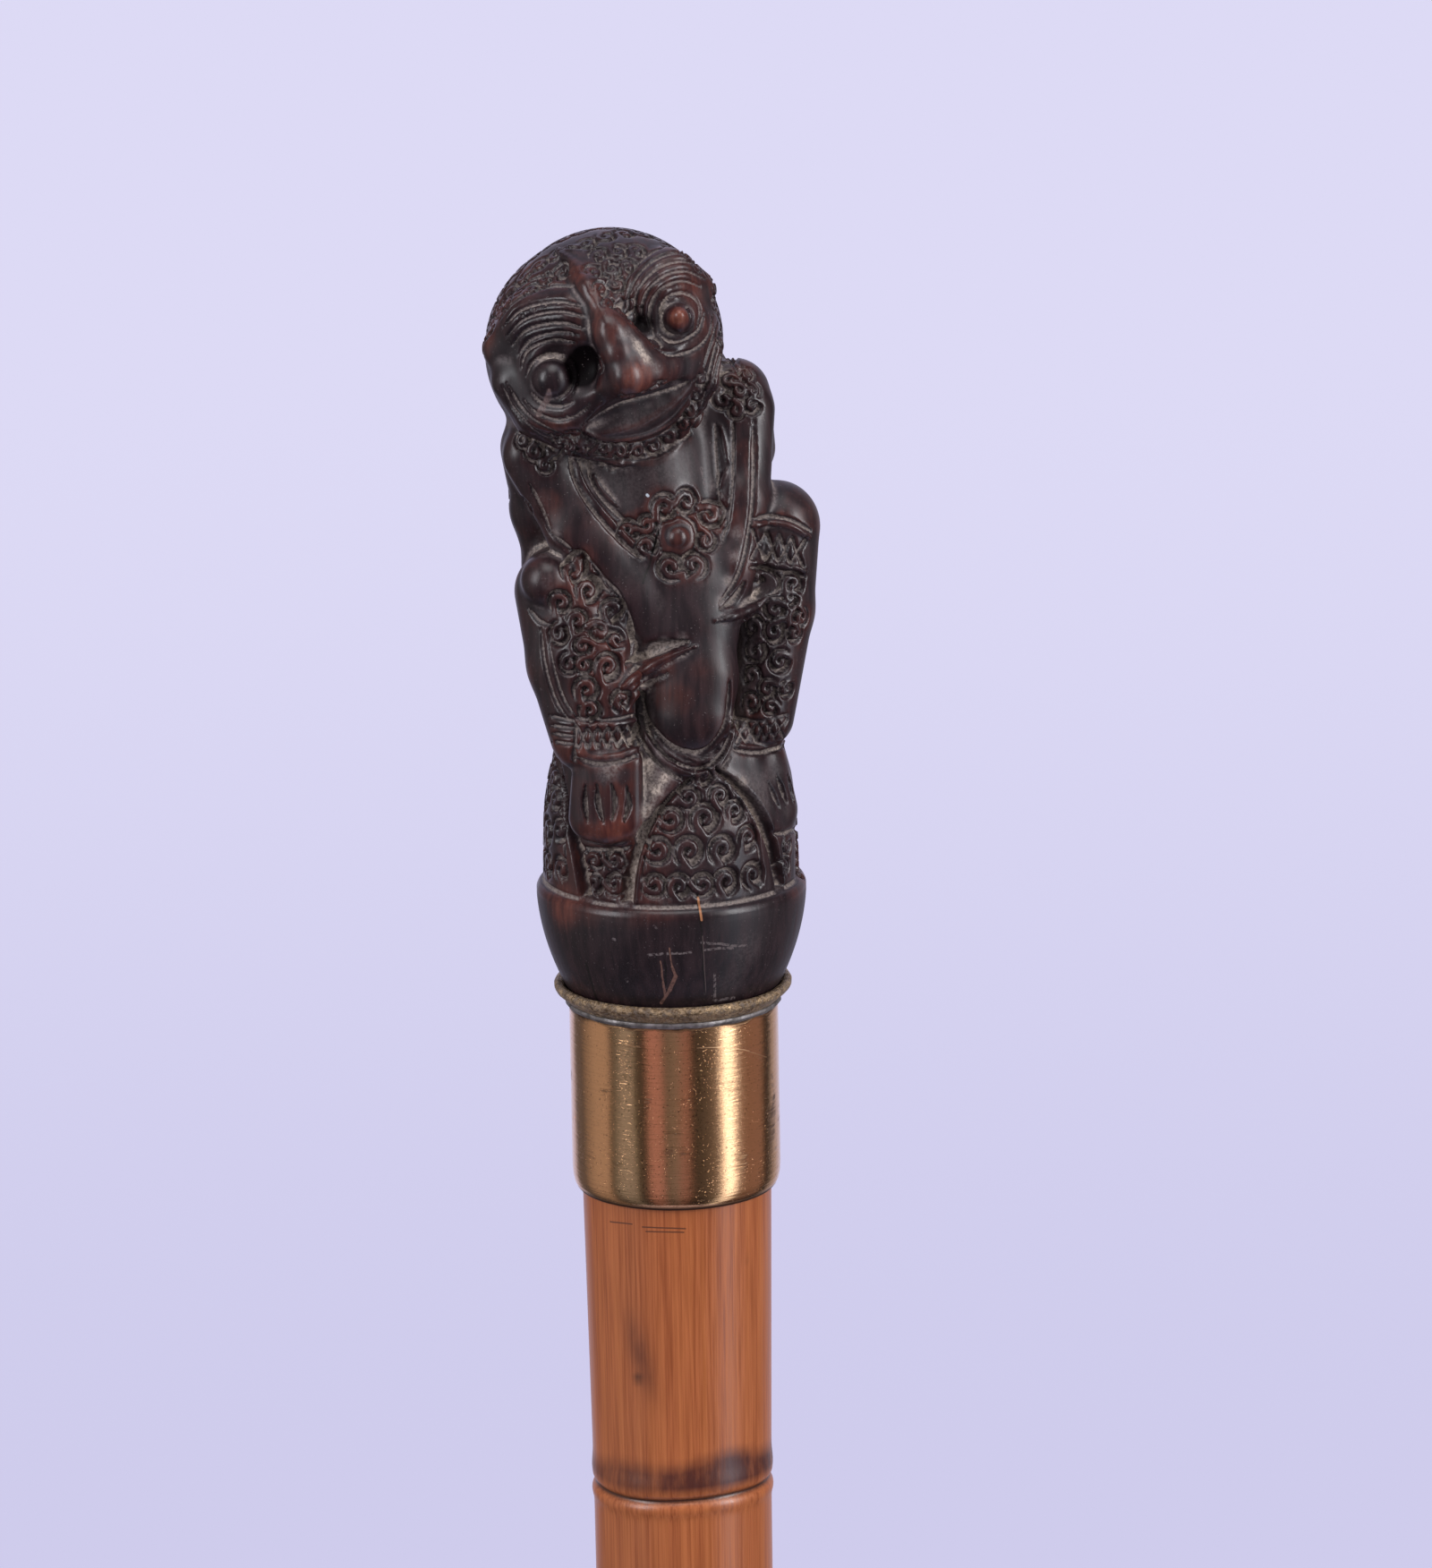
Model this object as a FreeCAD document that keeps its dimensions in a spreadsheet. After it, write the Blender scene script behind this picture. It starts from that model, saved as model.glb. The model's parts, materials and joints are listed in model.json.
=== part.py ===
"""Walking stick: a carved hardwood handle in a brass collar, on a bamboo shaft with a brass and steel tip.

Millimetres, +Z up. The origin is the centre of the ground face, and the carved figure faces -Y.
"""

import FreeCAD, Part
import os

import Sketcher

SIZES = {
    # Shaft
    "ground_to_collar": 767,
    "shaft_collar_dia": 25.5,
    "shaft_first_node_dia": 24.2,
    "shaft_tip_dia": 19.8,
    "first_internode": 41.5,
    "internode": 78,
    "node_reach": 4,
    "node_swell": 0.45,
    "node_groove": 0.35,
    "groove_width": 0.7,
    "shaft_wall": 4.4,
    "diaphragm": 3,
    # Collar
    "sleeve_height": 26,
    "sleeve_wall": 1.2,
    "sleeve_lip": 0.45,
    "sleeve_roll": 3,
    "rim_height": 2.9,
    "rim_seat": 0.4,
    "rim_flare": 1.9,
    "rim_edge": 1.3,
    "seam_width": 0.55,
    "collar_pin_dia": 1.6,
    "collar_pin_length": 4.5,
    "collar_pin_height": 10,
    # Handle
    "spigot_length": 8,
    "bulb_height": 17,
    "bulb_swell": 3.9,
    "neck_flare": 1.5,
    "ledge": 1.1,
    "figure_height": 90,
    "dowel_dia": 8,
    "dowel_length": 62,
    "top_plug_length": 36,
    # Tip
    "ferrule_dia": 19,
    "ferrule_wall": 0.8,
    "ferrule_length": 34,
    "ferrule_edge": 0.4,
    "toe_thickness": 3,
    "toe_spigot": 2.5,
    "toe_edge": 0.8,
    "tip_plug_length": 40,
    "ferrule_pin_dia": 1.4,
    "ferrule_pin_length": 3.6,
    "ferrule_pin_height": 27,
    # Fits
    "glue_gap": 0.1,
    "fit_gap": 0.03,
    "overrun": 1,
}

# Each internode is longer than the one above it.
INTERNODE_GROWTH_SHARE = 1.12

# Where an arc's middle lies, as shares of its run out and up.
QUARTER_ROUND_SHARE = 0.707
HOLLOW_ROUND_SHARE = 0.293
BULB_MIDDLE_SHARES = (0.66, 0.44)

# The drum that the leaf panels are cut in narrows upwards and runs on as the figure's trunk: heights
# as shares of the figure's height, radii as shares of the bulb's radius.
DRUM_TOP_SHARES = (0.87, 0.27)
TRUNK_MIDDLE_SHARES = (0.76, 0.48)
TRUNK_TOP_SHARES = (0.42, 0.70)

# An egg's greatest width and depth, as shares of its larger ball's radius and of its width.
EGG_ACROSS_SHARE = 1.05
EGG_DEPTH_SHARE = 0.98

# The figure's main forms, each an egg round two balls, as shares of the figure's height: the lower
# ball's centre (right, back and up from the ledge) and radius, then the upper ball's.
FIGURE_FORM_SHARES = {
    "head": ((-0.079, -0.024, 0.814), 0.160, (-0.110, -0.022, 0.842), 0.158),
    "shoulders": ((-0.172, 0.017, 0.639), 0.083, (0.071, 0.017, 0.711), 0.078),
    "mane": ((-0.055, 0.067, 0.440), 0.100, (-0.078, 0.061, 0.800), 0.122),
    "left_arm": ((-0.028, -0.122, 0.361), 0.040, (-0.194, -0.033, 0.650), 0.050),
    "right_arm": ((0.050, -0.117, 0.422), 0.038, (0.107, -0.033, 0.733), 0.044),
    "left_leg": ((-0.123, -0.122, 0.244), 0.056, (-0.146, -0.056, 0.478), 0.074),
    "right_leg": ((0.118, -0.089, 0.233), 0.050, (0.164, -0.044, 0.530), 0.064),
    "left_thigh": ((-0.089, 0.078, 0.333), 0.094, (-0.144, -0.033, 0.467), 0.067),
    "right_thigh": ((0.100, 0.078, 0.356), 0.094, (0.156, -0.022, 0.500), 0.061),
    "left_foot": ((-0.124, -0.139, 0.122), 0.051, (-0.126, -0.117, 0.211), 0.049),
    "right_foot": ((0.130, -0.100, 0.141), 0.045, (0.118, -0.087, 0.222), 0.047),
    "loincloth": ((-0.001, -0.134, 0.281), 0.056, (-0.004, -0.104, 0.446), 0.060),
    "chest": ((0.002, -0.052, 0.460), 0.084, (-0.030, -0.014, 0.640), 0.104),
    "left_side": ((-0.157, 0.020, 0.380), 0.040, (-0.188, -0.008, 0.630), 0.052),
    "right_side": ((0.085, -0.022, 0.560), 0.070, (0.102, -0.012, 0.720), 0.056),
    "left_hand": ((-0.108, -0.152, 0.312), 0.014, (0.002, -0.146, 0.386), 0.023),
    "right_hand": ((0.036, -0.150, 0.421), 0.019, (0.134, -0.122, 0.448), 0.012),
    "medallion": ((-0.015, -0.122, 0.538), 0.022, (-0.006, -0.130, 0.556), 0.021),
    "left_brow": ((-0.238, -0.064, 0.842), 0.033, (-0.162, -0.121, 0.889), 0.038),
    "right_brow": ((-0.058, -0.125, 0.914), 0.034, (0.034, -0.078, 0.913), 0.032),
    "left_cheek": ((-0.168, -0.136, 0.742), 0.029, (-0.228, -0.086, 0.764), 0.031),
    "left_jaw": ((-0.094, -0.108, 0.681), 0.023, (-0.204, -0.094, 0.716), 0.022),
    "right_jaw": ((-0.048, -0.098, 0.677), 0.024, (0.036, -0.114, 0.772), 0.021),
    "nose": ((-0.092, -0.196, 0.797), 0.027, (-0.134, -0.132, 0.925), 0.020),
    "left_eye": ((-0.199, -0.130, 0.796), 0.028, (-0.190, -0.142, 0.804), 0.027),
    "right_eye": ((-0.007, -0.138, 0.874), 0.026, (-0.010, -0.158, 0.885), 0.019),
}

# The height or radius of a point that lies on a sketch's axis.
ZERO = "0"

doc = FreeCAD.newDocument("walking_stick")
sheet = doc.addObject("Spreadsheet::Sheet", "sizes")
for row, (alias, number) in enumerate(SIZES.items(), 1):
    sheet.set(f"A{row}", alias)
    sheet.set(f"B{row}", str(number))
    sheet.setAlias(f"B{row}", alias)
doc.recompute()

# Heights and radii that several pieces share.
SLEEVE_FOOT = "sizes.ground_to_collar"
SLEEVE_TOP = f"({SLEEVE_FOOT} + sizes.sleeve_height)"
SLEEVE_BORE = "(sizes.shaft_collar_dia / 2 + sizes.glue_gap)"
SLEEVE_RADIUS = f"({SLEEVE_BORE} + sizes.sleeve_wall)"
RIM_TOP = f"({SLEEVE_TOP} + sizes.rim_height)"
RIM_BORE = f"({SLEEVE_BORE} + sizes.rim_seat)"
SHAFT_TOP = f"({SLEEVE_TOP} - sizes.spigot_length)"
SHAFT_FOOT = "(sizes.toe_thickness + sizes.toe_spigot)"
FIRST_NODE = f"({SLEEVE_FOOT} - sizes.first_internode)"
TOP_HOLLOW_RADIUS = "(sizes.shaft_collar_dia / 2 - sizes.shaft_wall)"
TIP_HOLLOW_RADIUS = "(sizes.shaft_tip_dia / 2 - sizes.shaft_wall)"
FERRULE_FOOT = "sizes.toe_thickness"
FERRULE_TOP = f"({FERRULE_FOOT} + sizes.ferrule_length)"
FERRULE_RADIUS = "sizes.ferrule_dia / 2"
FERRULE_BORE = f"({FERRULE_RADIUS} - sizes.ferrule_wall)"
LEDGE_HEIGHT = f"({SLEEVE_TOP} + sizes.bulb_height)"
BULB_RADIUS = f"({SLEEVE_RADIUS} + sizes.bulb_swell)"
NECK_RADIUS = f"({RIM_BORE} - sizes.glue_gap + sizes.neck_flare)"
DOWEL_BORE = "(sizes.dowel_dia / 2 + sizes.glue_gap)"
DOWEL_TOP = f"({SHAFT_TOP} + sizes.dowel_length / 2)"
DOWEL_FOOT = f"({SHAFT_TOP} - sizes.dowel_length / 2)"

finished = []


def keep(piece, label):
    """Gives a finished sub-part the name of its file."""
    piece.Label = label
    finished.append(piece)


def value(expression):
    """An expression's value at the present sizes."""
    return float(sheet.evalExpression(expression))


def tie(sketch, edge, end, point):
    """Ties one end of an edge to its radius and height. A sketch numbers its upright axis -2 and its
    level axis -1."""
    radius, height = point
    for text, kind, axis in ((radius, "DistanceX", -2), (height, "DistanceY", -1)):
        if text == ZERO:
            sketch.addConstraint(Sketcher.Constraint("PointOnObject", edge, end, axis))
        else:
            constraint = Sketcher.Constraint(kind, -1, 1, edge, end, value(text))
            made = sketch.addConstraint(constraint)
            sketch.setExpression(f"Constraints[{made}]", text)


def add_edge(sketch, corners, bulge):
    """A line between two corners, or an arc through the bulge, and which of its ends comes first."""
    vectors = [FreeCAD.Vector(value(r), value(h), 0) for r, h in corners]
    if bulge:
        middle = FreeCAD.Vector(value(bulge[0]), value(bulge[1]), 0)
        edge = sketch.addGeometry(Part.Arc(vectors[0], middle, vectors[1]), False)
        on_arc = sketch.addGeometry(Part.Point(middle), True)
        tie(sketch, on_arc, 1, bulge)
        sketch.addConstraint(Sketcher.Constraint("PointOnObject", on_arc, 1, edge))
    else:
        edge = sketch.addGeometry(Part.LineSegment(*vectors), False)
    end = sketch.getPoint(edge, 1)
    forward = (end - vectors[0]).Length < (end - vectors[1]).Length
    return edge, (1, 2) if forward else (2, 1)


def turned(name, start, *steps):
    """A body turned about the stick's axis. Its half outline runs from start through the steps and
    closes with a line. A step is the next point, or a point that an arc passes and then the next."""
    body = doc.addObject("PartDesign::Body", name)
    sketch = body.newObject("Sketcher::SketchObject", name + "_outline")
    plane = next(f for f in body.Origin.OriginFeatures if f.Role == "XZ_Plane")
    sketch.AttachmentSupport = (plane, [""])
    sketch.MapMode = "FlatFace"
    corners = [start] + [step[-2:] for step in steps]
    bulges = [step[:-2] for step in steps] + [()]
    joints = []
    for number, bulge in enumerate(bulges):
        after = corners[(number + 1) % len(corners)]
        edge, ends = add_edge(sketch, (corners[number], after), bulge)
        tie(sketch, edge, ends[0], corners[number])
        joints.append(((edge, ends[0]), (edge, ends[1])))
    for (_, last), (first, _) in zip(joints, joints[1:] + joints[:1]):
        sketch.addConstraint(Sketcher.Constraint("Coincident", *last, *first))
    turn = body.newObject("PartDesign::Revolution", name + "_turn")
    turn.Profile = sketch
    turn.ReferenceAxis = (sketch, ["V_Axis"])
    turn.Angle = 360
    body.Tip = turn
    return body


def rod(name, radius, foot, top):
    """An upright cylinder on the stick's axis."""
    made = doc.addObject("Part::Cylinder", name)
    made.setExpression("Radius", radius)
    made.setExpression("Height", f"{top} - {foot}")
    made.setExpression("Placement.Base.z", foot)
    return made


def side_pin(name, side, radius, length, outside, height):
    """A pin driven towards the axis from the right (1) or left (-1), its head at the outside."""
    pin = doc.addObject("Part::Cylinder", name)
    pin.setExpression("Radius", radius)
    pin.setExpression("Height", length)
    inward = FreeCAD.Rotation(FreeCAD.Vector(0, 0, 1), FreeCAD.Vector(-side, 0, 0))
    pin.Placement = FreeCAD.Placement(FreeCAD.Vector(), inward)
    pin.setExpression("Placement.Base.x", f"{side} * ({outside})")
    pin.setExpression("Placement.Base.z", height)
    return pin


def pins_and_holes(name, kind, outside, height):
    """A pair of side pins, and the pair of tools for their holes."""
    radius = f"sizes.{kind}_dia / 2"
    length = f"sizes.{kind}_length"
    pins = []
    holes = []
    for side, word in ((1, "right"), (-1, "left")):
        pins.append(side_pin(f"{name}_{word}", side, radius, length, outside, height))
        holes.append(
            side_pin(
                f"{name}_{word}_hole",
                side,
                f"{radius} + sizes.fit_gap",
                f"{length} + sizes.fit_gap + sizes.overrun",
                f"{outside} + sizes.overrun",
                height,
            )
        )
    return pins, holes


def together(name, pieces):
    """Several separate solids under one name."""
    group = doc.addObject("Part::Compound", name)
    group.Links = pieces
    return group


def cut(name, base, tools):
    """The base less its tools."""
    made = doc.addObject("Part::Cut", name)
    made.Base = base
    made.Tool = tools[0] if len(tools) == 1 else together(name + "_tools", tools)
    return made


def shaft_radius(height):
    """The bamboo's radius at or below the first node, where it tapers evenly to the ferrule."""
    run = f"({height} - {FERRULE_TOP}) / ({FIRST_NODE} - {FERRULE_TOP})"
    spread = "(sizes.shaft_first_node_dia - sizes.shaft_tip_dia) / 2"
    return f"(sizes.shaft_tip_dia / 2 + {spread} * {run})"


def shaft_nodes():
    """Heights of the bamboo's nodes, from the collar down."""
    heights = [FIRST_NODE]
    gap = "sizes.internode"
    lowest = value(f"{FERRULE_TOP} + 2 * sizes.node_reach")
    while value(f"{heights[-1]} - {gap}") > lowest:
        heights.append(f"({heights[-1]} - {gap})")
        gap = f"({gap} * {INTERNODE_GROWTH_SHARE})"
    return heights


def bamboo_shaft(holes):
    """The tapered cane: a groove between two swollen rings at each node, hollow between the nodes."""
    heights = shaft_nodes()
    collar_radius = "sizes.shaft_collar_dia / 2"
    tip_end_radius = f"({FERRULE_BORE} - sizes.glue_gap)"
    outline = [(collar_radius, SHAFT_TOP), (collar_radius, SLEEVE_FOOT)]
    for height in heights:
        radius = shaft_radius(height)
        swollen = f"({radius} + sizes.node_swell)"
        outline += [
            (radius, f"({height} + sizes.node_reach)"),
            (swollen, f"({height} + sizes.groove_width)"),
            (f"({radius} - sizes.node_groove)", height),
            (swollen, f"({height} - sizes.groove_width)"),
            (radius, f"({height} - sizes.node_reach)"),
        ]
    outline += [
        ("sizes.shaft_tip_dia / 2", FERRULE_TOP),
        (tip_end_radius, FERRULE_TOP),
        (tip_end_radius, SHAFT_FOOT),
        (ZERO, SHAFT_FOOT),
    ]
    cane = turned("cane", (ZERO, SHAFT_TOP), *outline)
    above = [f"({height} + sizes.diaphragm / 2)" for height in heights]
    below = [f"({height} - sizes.diaphragm / 2)" for height in heights]
    hollows = [
        rod("top_hollow", TOP_HOLLOW_RADIUS, above[0], SHAFT_TOP),
        rod("tip_hollow", TIP_HOLLOW_RADIUS, SHAFT_FOOT, below[-1]),
    ]
    for number, (foot, top) in enumerate(zip(above[1:], below)):
        radius = f"({shaft_radius(foot)} - sizes.shaft_wall)"
        hollows.append(rod(f"hollow_{number}", radius, foot, top))
    return cut("shaft", cane, hollows + holes)


def collar_sleeve(holes):
    """The brass tube over the joint. Its lower edge is rolled in towards the bamboo."""
    roll_top = f"({SLEEVE_FOOT} + sizes.sleeve_roll)"
    lip = f"({SLEEVE_BORE} + sizes.sleeve_lip)"
    out = f"({SLEEVE_RADIUS} - {lip})"
    tube = turned(
        "sleeve_tube",
        (SLEEVE_BORE, SLEEVE_TOP),
        (SLEEVE_RADIUS, SLEEVE_TOP),
        (SLEEVE_RADIUS, roll_top),
        (
            f"({lip} + {out} * {QUARTER_ROUND_SHARE})",
            f"({SLEEVE_FOOT} + sizes.sleeve_roll * {HOLLOW_ROUND_SHARE})",
            lip,
            SLEEVE_FOOT,
        ),
        (SLEEVE_BORE, SLEEVE_FOOT),
    )
    return cut("sleeve", tube, holes)


def collar_rim():
    """The ring that flares round the bulb's foot, with a beaded edge."""
    outside = f"({SLEEVE_RADIUS} + sizes.rim_flare)"
    bead = f"({outside} - sizes.rim_edge / 2)"
    return turned(
        "rim",
        (RIM_BORE, SLEEVE_TOP),
        (f"({SLEEVE_RADIUS} + sizes.seam_width)", SLEEVE_TOP),
        (bead, f"({RIM_TOP} - sizes.rim_edge)"),
        (outside, f"({RIM_TOP} - sizes.rim_edge / 2)", bead, RIM_TOP),
        (f"({NECK_RADIUS} + sizes.glue_gap)", RIM_TOP),
    )


def solder_seam():
    """The sloping fillet of solder in the corner under the rim."""
    inside = f"({SLEEVE_RADIUS} + sizes.fit_gap)"
    width = "(sizes.seam_width - sizes.fit_gap)"
    return turned(
        "seam",
        (inside, SLEEVE_TOP),
        (f"({inside} + {width})", SLEEVE_TOP),
        (inside, f"({SLEEVE_TOP} - {width})"),
    )


def handle_base():
    """The spigot in the collar, the polished bulb, its ledge, and the drum and trunk above it."""
    spigot_radius = f"({SLEEVE_BORE} - sizes.glue_gap)"
    foot_radius = f"({RIM_BORE} - sizes.glue_gap)"
    across, up = BULB_MIDDLE_SHARES
    drum_top, trunk_middle, trunk_top = (
        (f"({BULB_RADIUS} * {out})", f"({LEDGE_HEIGHT} + sizes.figure_height * {high})")
        for out, high in (DRUM_TOP_SHARES, TRUNK_MIDDLE_SHARES, TRUNK_TOP_SHARES)
    )
    return turned(
        "handle_base",
        (ZERO, SHAFT_TOP),
        (spigot_radius, SHAFT_TOP),
        (spigot_radius, SLEEVE_TOP),
        (foot_radius, SLEEVE_TOP),
        (NECK_RADIUS, RIM_TOP),
        (
            f"({NECK_RADIUS} + ({BULB_RADIUS} - {NECK_RADIUS}) * {across})",
            f"({RIM_TOP} + ({LEDGE_HEIGHT} - {RIM_TOP}) * {up})",
            BULB_RADIUS,
            LEDGE_HEIGHT,
        ),
        (f"({BULB_RADIUS} - sizes.ledge)", LEDGE_HEIGHT),
        drum_top,
        (*trunk_middle, *trunk_top),
        (ZERO, trunk_top[1]),
    )


def figure_form(name, foot, foot_radius, top, top_radius):
    """An egg-shaped solid that reaches as far as its two balls do."""
    foot = FreeCAD.Vector(*foot)
    top = FreeCAD.Vector(*top)
    run = top - foot
    centre = (foot + top) / 2 + run * ((top_radius - foot_radius) / run.Length / 2)
    across = max(foot_radius, top_radius) * EGG_ACROSS_SHARE
    form = doc.addObject("Part::Ellipsoid", name)
    for radius, share in (
        ("Radius1", (run.Length + foot_radius + top_radius) / 2),
        ("Radius2", across),
        ("Radius3", across * EGG_DEPTH_SHARE),
    ):
        form.setExpression(radius, f"sizes.figure_height * {share:.6f}")
    back = FreeCAD.Vector(0, 1, 0)
    turn = FreeCAD.Rotation(back, FreeCAD.Vector(), run, "ZXY")
    form.Placement = FreeCAD.Placement(FreeCAD.Vector(), turn)
    for axis, share in zip("xyz", centre):
        base = f"{LEDGE_HEIGHT} + " if axis == "z" else ""
        form.setExpression(f"Placement.Base.{axis}", f"{base}sizes.figure_height * {share:.6f}")
    return form


def carved_handle(forms):
    """One block of wood: the base and the figure's forms, bored for the dowel."""
    block = handle_base()
    for form in forms:
        larger = doc.addObject("Part::Fuse", f"block_with_{form.Name}")
        larger.Base = block
        larger.Tool = form
        block = larger
    bore = rod("dowel_bore", DOWEL_BORE, SHAFT_TOP, f"({DOWEL_TOP} + sizes.glue_gap)")
    return cut("handle", block, [bore])


def top_plug():
    """The hardwood plug in the shaft's top, bored for the dowel."""
    foot = f"({SHAFT_TOP} - sizes.top_plug_length)"
    plug = rod("top_plug_block", f"{TOP_HOLLOW_RADIUS} - sizes.glue_gap", foot, SHAFT_TOP)
    bore = rod("top_plug_bore", DOWEL_BORE, f"({DOWEL_FOOT} - sizes.glue_gap)", SHAFT_TOP)
    return cut("top_plug", plug, [bore])


def tip_ferrule(holes):
    """The brass cup on the shaft's reduced end, its upper edge rounded."""
    cup = turned(
        "ferrule_cup",
        (FERRULE_BORE, FERRULE_FOOT),
        (FERRULE_RADIUS, FERRULE_FOOT),
        (FERRULE_RADIUS, f"({FERRULE_TOP} - sizes.ferrule_edge)"),
        (
            f"({FERRULE_RADIUS} - sizes.ferrule_edge * {HOLLOW_ROUND_SHARE})",
            f"({FERRULE_TOP} - sizes.ferrule_edge * {HOLLOW_ROUND_SHARE})",
            f"({FERRULE_RADIUS} - sizes.ferrule_edge)",
            FERRULE_TOP,
        ),
        (FERRULE_BORE, FERRULE_TOP),
    )
    return cut("ferrule", cup, holes)


def tip_toe():
    """The steel disc that meets the ground, its spigot inside the ferrule."""
    spigot_radius = f"({FERRULE_BORE} - sizes.fit_gap)"
    return turned(
        "toe",
        (ZERO, ZERO),
        (f"({FERRULE_RADIUS} - sizes.toe_edge)", ZERO),
        (
            f"({FERRULE_RADIUS} - sizes.toe_edge * {HOLLOW_ROUND_SHARE})",
            f"(sizes.toe_edge * {HOLLOW_ROUND_SHARE})",
            FERRULE_RADIUS,
            "sizes.toe_edge",
        ),
        (FERRULE_RADIUS, FERRULE_FOOT),
        (spigot_radius, FERRULE_FOOT),
        (spigot_radius, SHAFT_FOOT),
        (ZERO, SHAFT_FOOT),
    )


collar_pins, collar_holes = pins_and_holes(
    "collar_pin", "collar_pin", SLEEVE_RADIUS, f"({SLEEVE_FOOT} + sizes.collar_pin_height)"
)
ferrule_pins, ferrule_holes = pins_and_holes(
    "ferrule_pin", "ferrule_pin", FERRULE_RADIUS, f"({FERRULE_FOOT} + sizes.ferrule_pin_height)"
)
forms = [figure_form(name, *shares) for name, shares in FIGURE_FORM_SHARES.items()]
tip_plug_top = f"({SHAFT_FOOT} + sizes.tip_plug_length)"
tip_plug_radius = f"{TIP_HOLLOW_RADIUS} - sizes.glue_gap"

keep(carved_handle(forms), "carved_handle")
keep(rod("dowel", "sizes.dowel_dia / 2", DOWEL_FOOT, DOWEL_TOP), "handle_dowel")
keep(collar_rim(), "collar_rim")
keep(solder_seam(), "collar_solder_seam")
keep(collar_sleeve(collar_holes), "collar_sleeve")
keep(together("collar_pin_pair", collar_pins), "collar_pins")
keep(bamboo_shaft(collar_holes + ferrule_holes), "bamboo_shaft")
keep(top_plug(), "shaft_top_plug")
keep(rod("tip_plug", tip_plug_radius, SHAFT_FOOT, tip_plug_top), "shaft_tip_plug")
keep(tip_ferrule(ferrule_holes), "tip_ferrule")
keep(tip_toe(), "tip_toe")
keep(together("ferrule_pin_pair", ferrule_pins), "ferrule_pins")

doc.recompute()

for thing in doc.Objects:
    if {"Invalid", "Error"} & set(thing.State):
        raise RuntimeError(f"{thing.Label} failed: {thing.State}")
for piece in finished:
    if piece.Shape.isNull() or not piece.Shape.isValid() or not piece.Shape.Solids:
        raise RuntimeError(f"{piece.Label} has no valid solid")
for form in forms:
    if not finished[0].Shape.isInside(form.Placement.Base, value("sizes.fit_gap"), True):
        raise RuntimeError(f"the handle lost its {form.Label}")

os.makedirs("parts", exist_ok=True)
for piece in finished:
    piece.Shape.exportStep(f"parts/{piece.Label}.step")
    box = piece.Shape.BoundBox
    print(
        f"{piece.Label}: {len(piece.Shape.Solids)} solids, {piece.Shape.Volume:.0f} mm3,"
        f" z {box.ZMin:.2f} to {box.ZMax:.2f}, width {box.XLength:.2f}"
    )
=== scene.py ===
"""Looks of the carved walking stick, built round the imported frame.

The handle is sculpted here in millimetres from the centre of the ledge above its bulb: x to the right,
y to the back and z up. Places read off the photograph are in its pixels, 1600 by 1752.
"""

import json
import math
from collections import namedtuple

import bpy
import numpy as np
from mathutils import Matrix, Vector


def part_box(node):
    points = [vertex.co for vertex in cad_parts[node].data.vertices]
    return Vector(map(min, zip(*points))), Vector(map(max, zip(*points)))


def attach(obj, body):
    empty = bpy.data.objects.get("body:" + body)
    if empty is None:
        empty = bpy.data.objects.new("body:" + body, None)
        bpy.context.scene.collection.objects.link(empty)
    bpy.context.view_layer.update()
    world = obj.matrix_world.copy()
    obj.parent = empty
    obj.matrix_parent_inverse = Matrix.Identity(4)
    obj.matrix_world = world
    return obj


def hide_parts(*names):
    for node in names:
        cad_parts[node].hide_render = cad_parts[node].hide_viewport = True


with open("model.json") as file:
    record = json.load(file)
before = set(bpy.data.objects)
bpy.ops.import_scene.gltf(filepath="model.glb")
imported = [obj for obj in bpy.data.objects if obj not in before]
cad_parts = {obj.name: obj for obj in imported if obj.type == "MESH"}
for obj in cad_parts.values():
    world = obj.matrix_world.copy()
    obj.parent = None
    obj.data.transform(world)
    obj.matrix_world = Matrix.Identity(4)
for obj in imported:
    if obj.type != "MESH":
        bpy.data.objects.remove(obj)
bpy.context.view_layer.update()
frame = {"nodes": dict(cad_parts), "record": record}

MM = 0.001
BULB_HEIGHT = 17.0
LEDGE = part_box("collar_sleeve")[1].z + BULB_HEIGHT * MM


def directions(turn, rise):
    """The way to the right and the way back of a look from a turn and a rise."""
    back = np.array([math.sin(turn) * math.cos(rise), -math.cos(turn) * math.cos(rise), math.sin(rise)])
    return np.array([math.cos(turn), math.sin(turn), 0.0]), back


# The photograph's camera
PHOTO_WIDTH, PHOTO_HEIGHT = 1600, 1752
MM_PER_PIXEL = 0.12
DISTANCE = 1400.0
LEDGE_PIXEL = (750, 978)
TURN, RISE, ROLL = (math.radians(angle) for angle in (-13.0, 14.7, -1.0))
LEVEL, BACK = directions(TURN, RISE)
UPWARD = np.cross(BACK, LEVEL)
RIGHT = LEVEL * math.cos(ROLL) + UPWARD * math.sin(ROLL)
UP = UPWARD * math.cos(ROLL) - LEVEL * math.sin(ROLL)
FOCUS = DISTANCE / MM_PER_PIXEL
TARGET = (
    (PHOTO_WIDTH / 2 - LEDGE_PIXEL[0]) * MM_PER_PIXEL * RIGHT
    + (LEDGE_PIXEL[1] - PHOTO_HEIGHT / 2) * MM_PER_PIXEL * UP
)
EYE = TARGET + BACK * DISTANCE

CELL = 0.27


# Geometry of the photograph


def rays(pixels):
    """Directions from the camera through pixels."""
    pixels = np.asarray(pixels, float).reshape(-1, 2)
    x = (pixels[:, :1] - PHOTO_WIDTH / 2) / FOCUS
    y = (PHOTO_HEIGHT / 2 - pixels[:, 1:]) / FOCUS
    way = RIGHT * x + UP * y - BACK
    return way / np.linalg.norm(way, axis=1, keepdims=True)


def at(x, y, depth):
    """The point seen at a pixel, at a depth along y (negative is to the front)."""
    way = rays((x, y))[0]
    return EYE + way * (depth - EYE[1]) / way[1]


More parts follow.
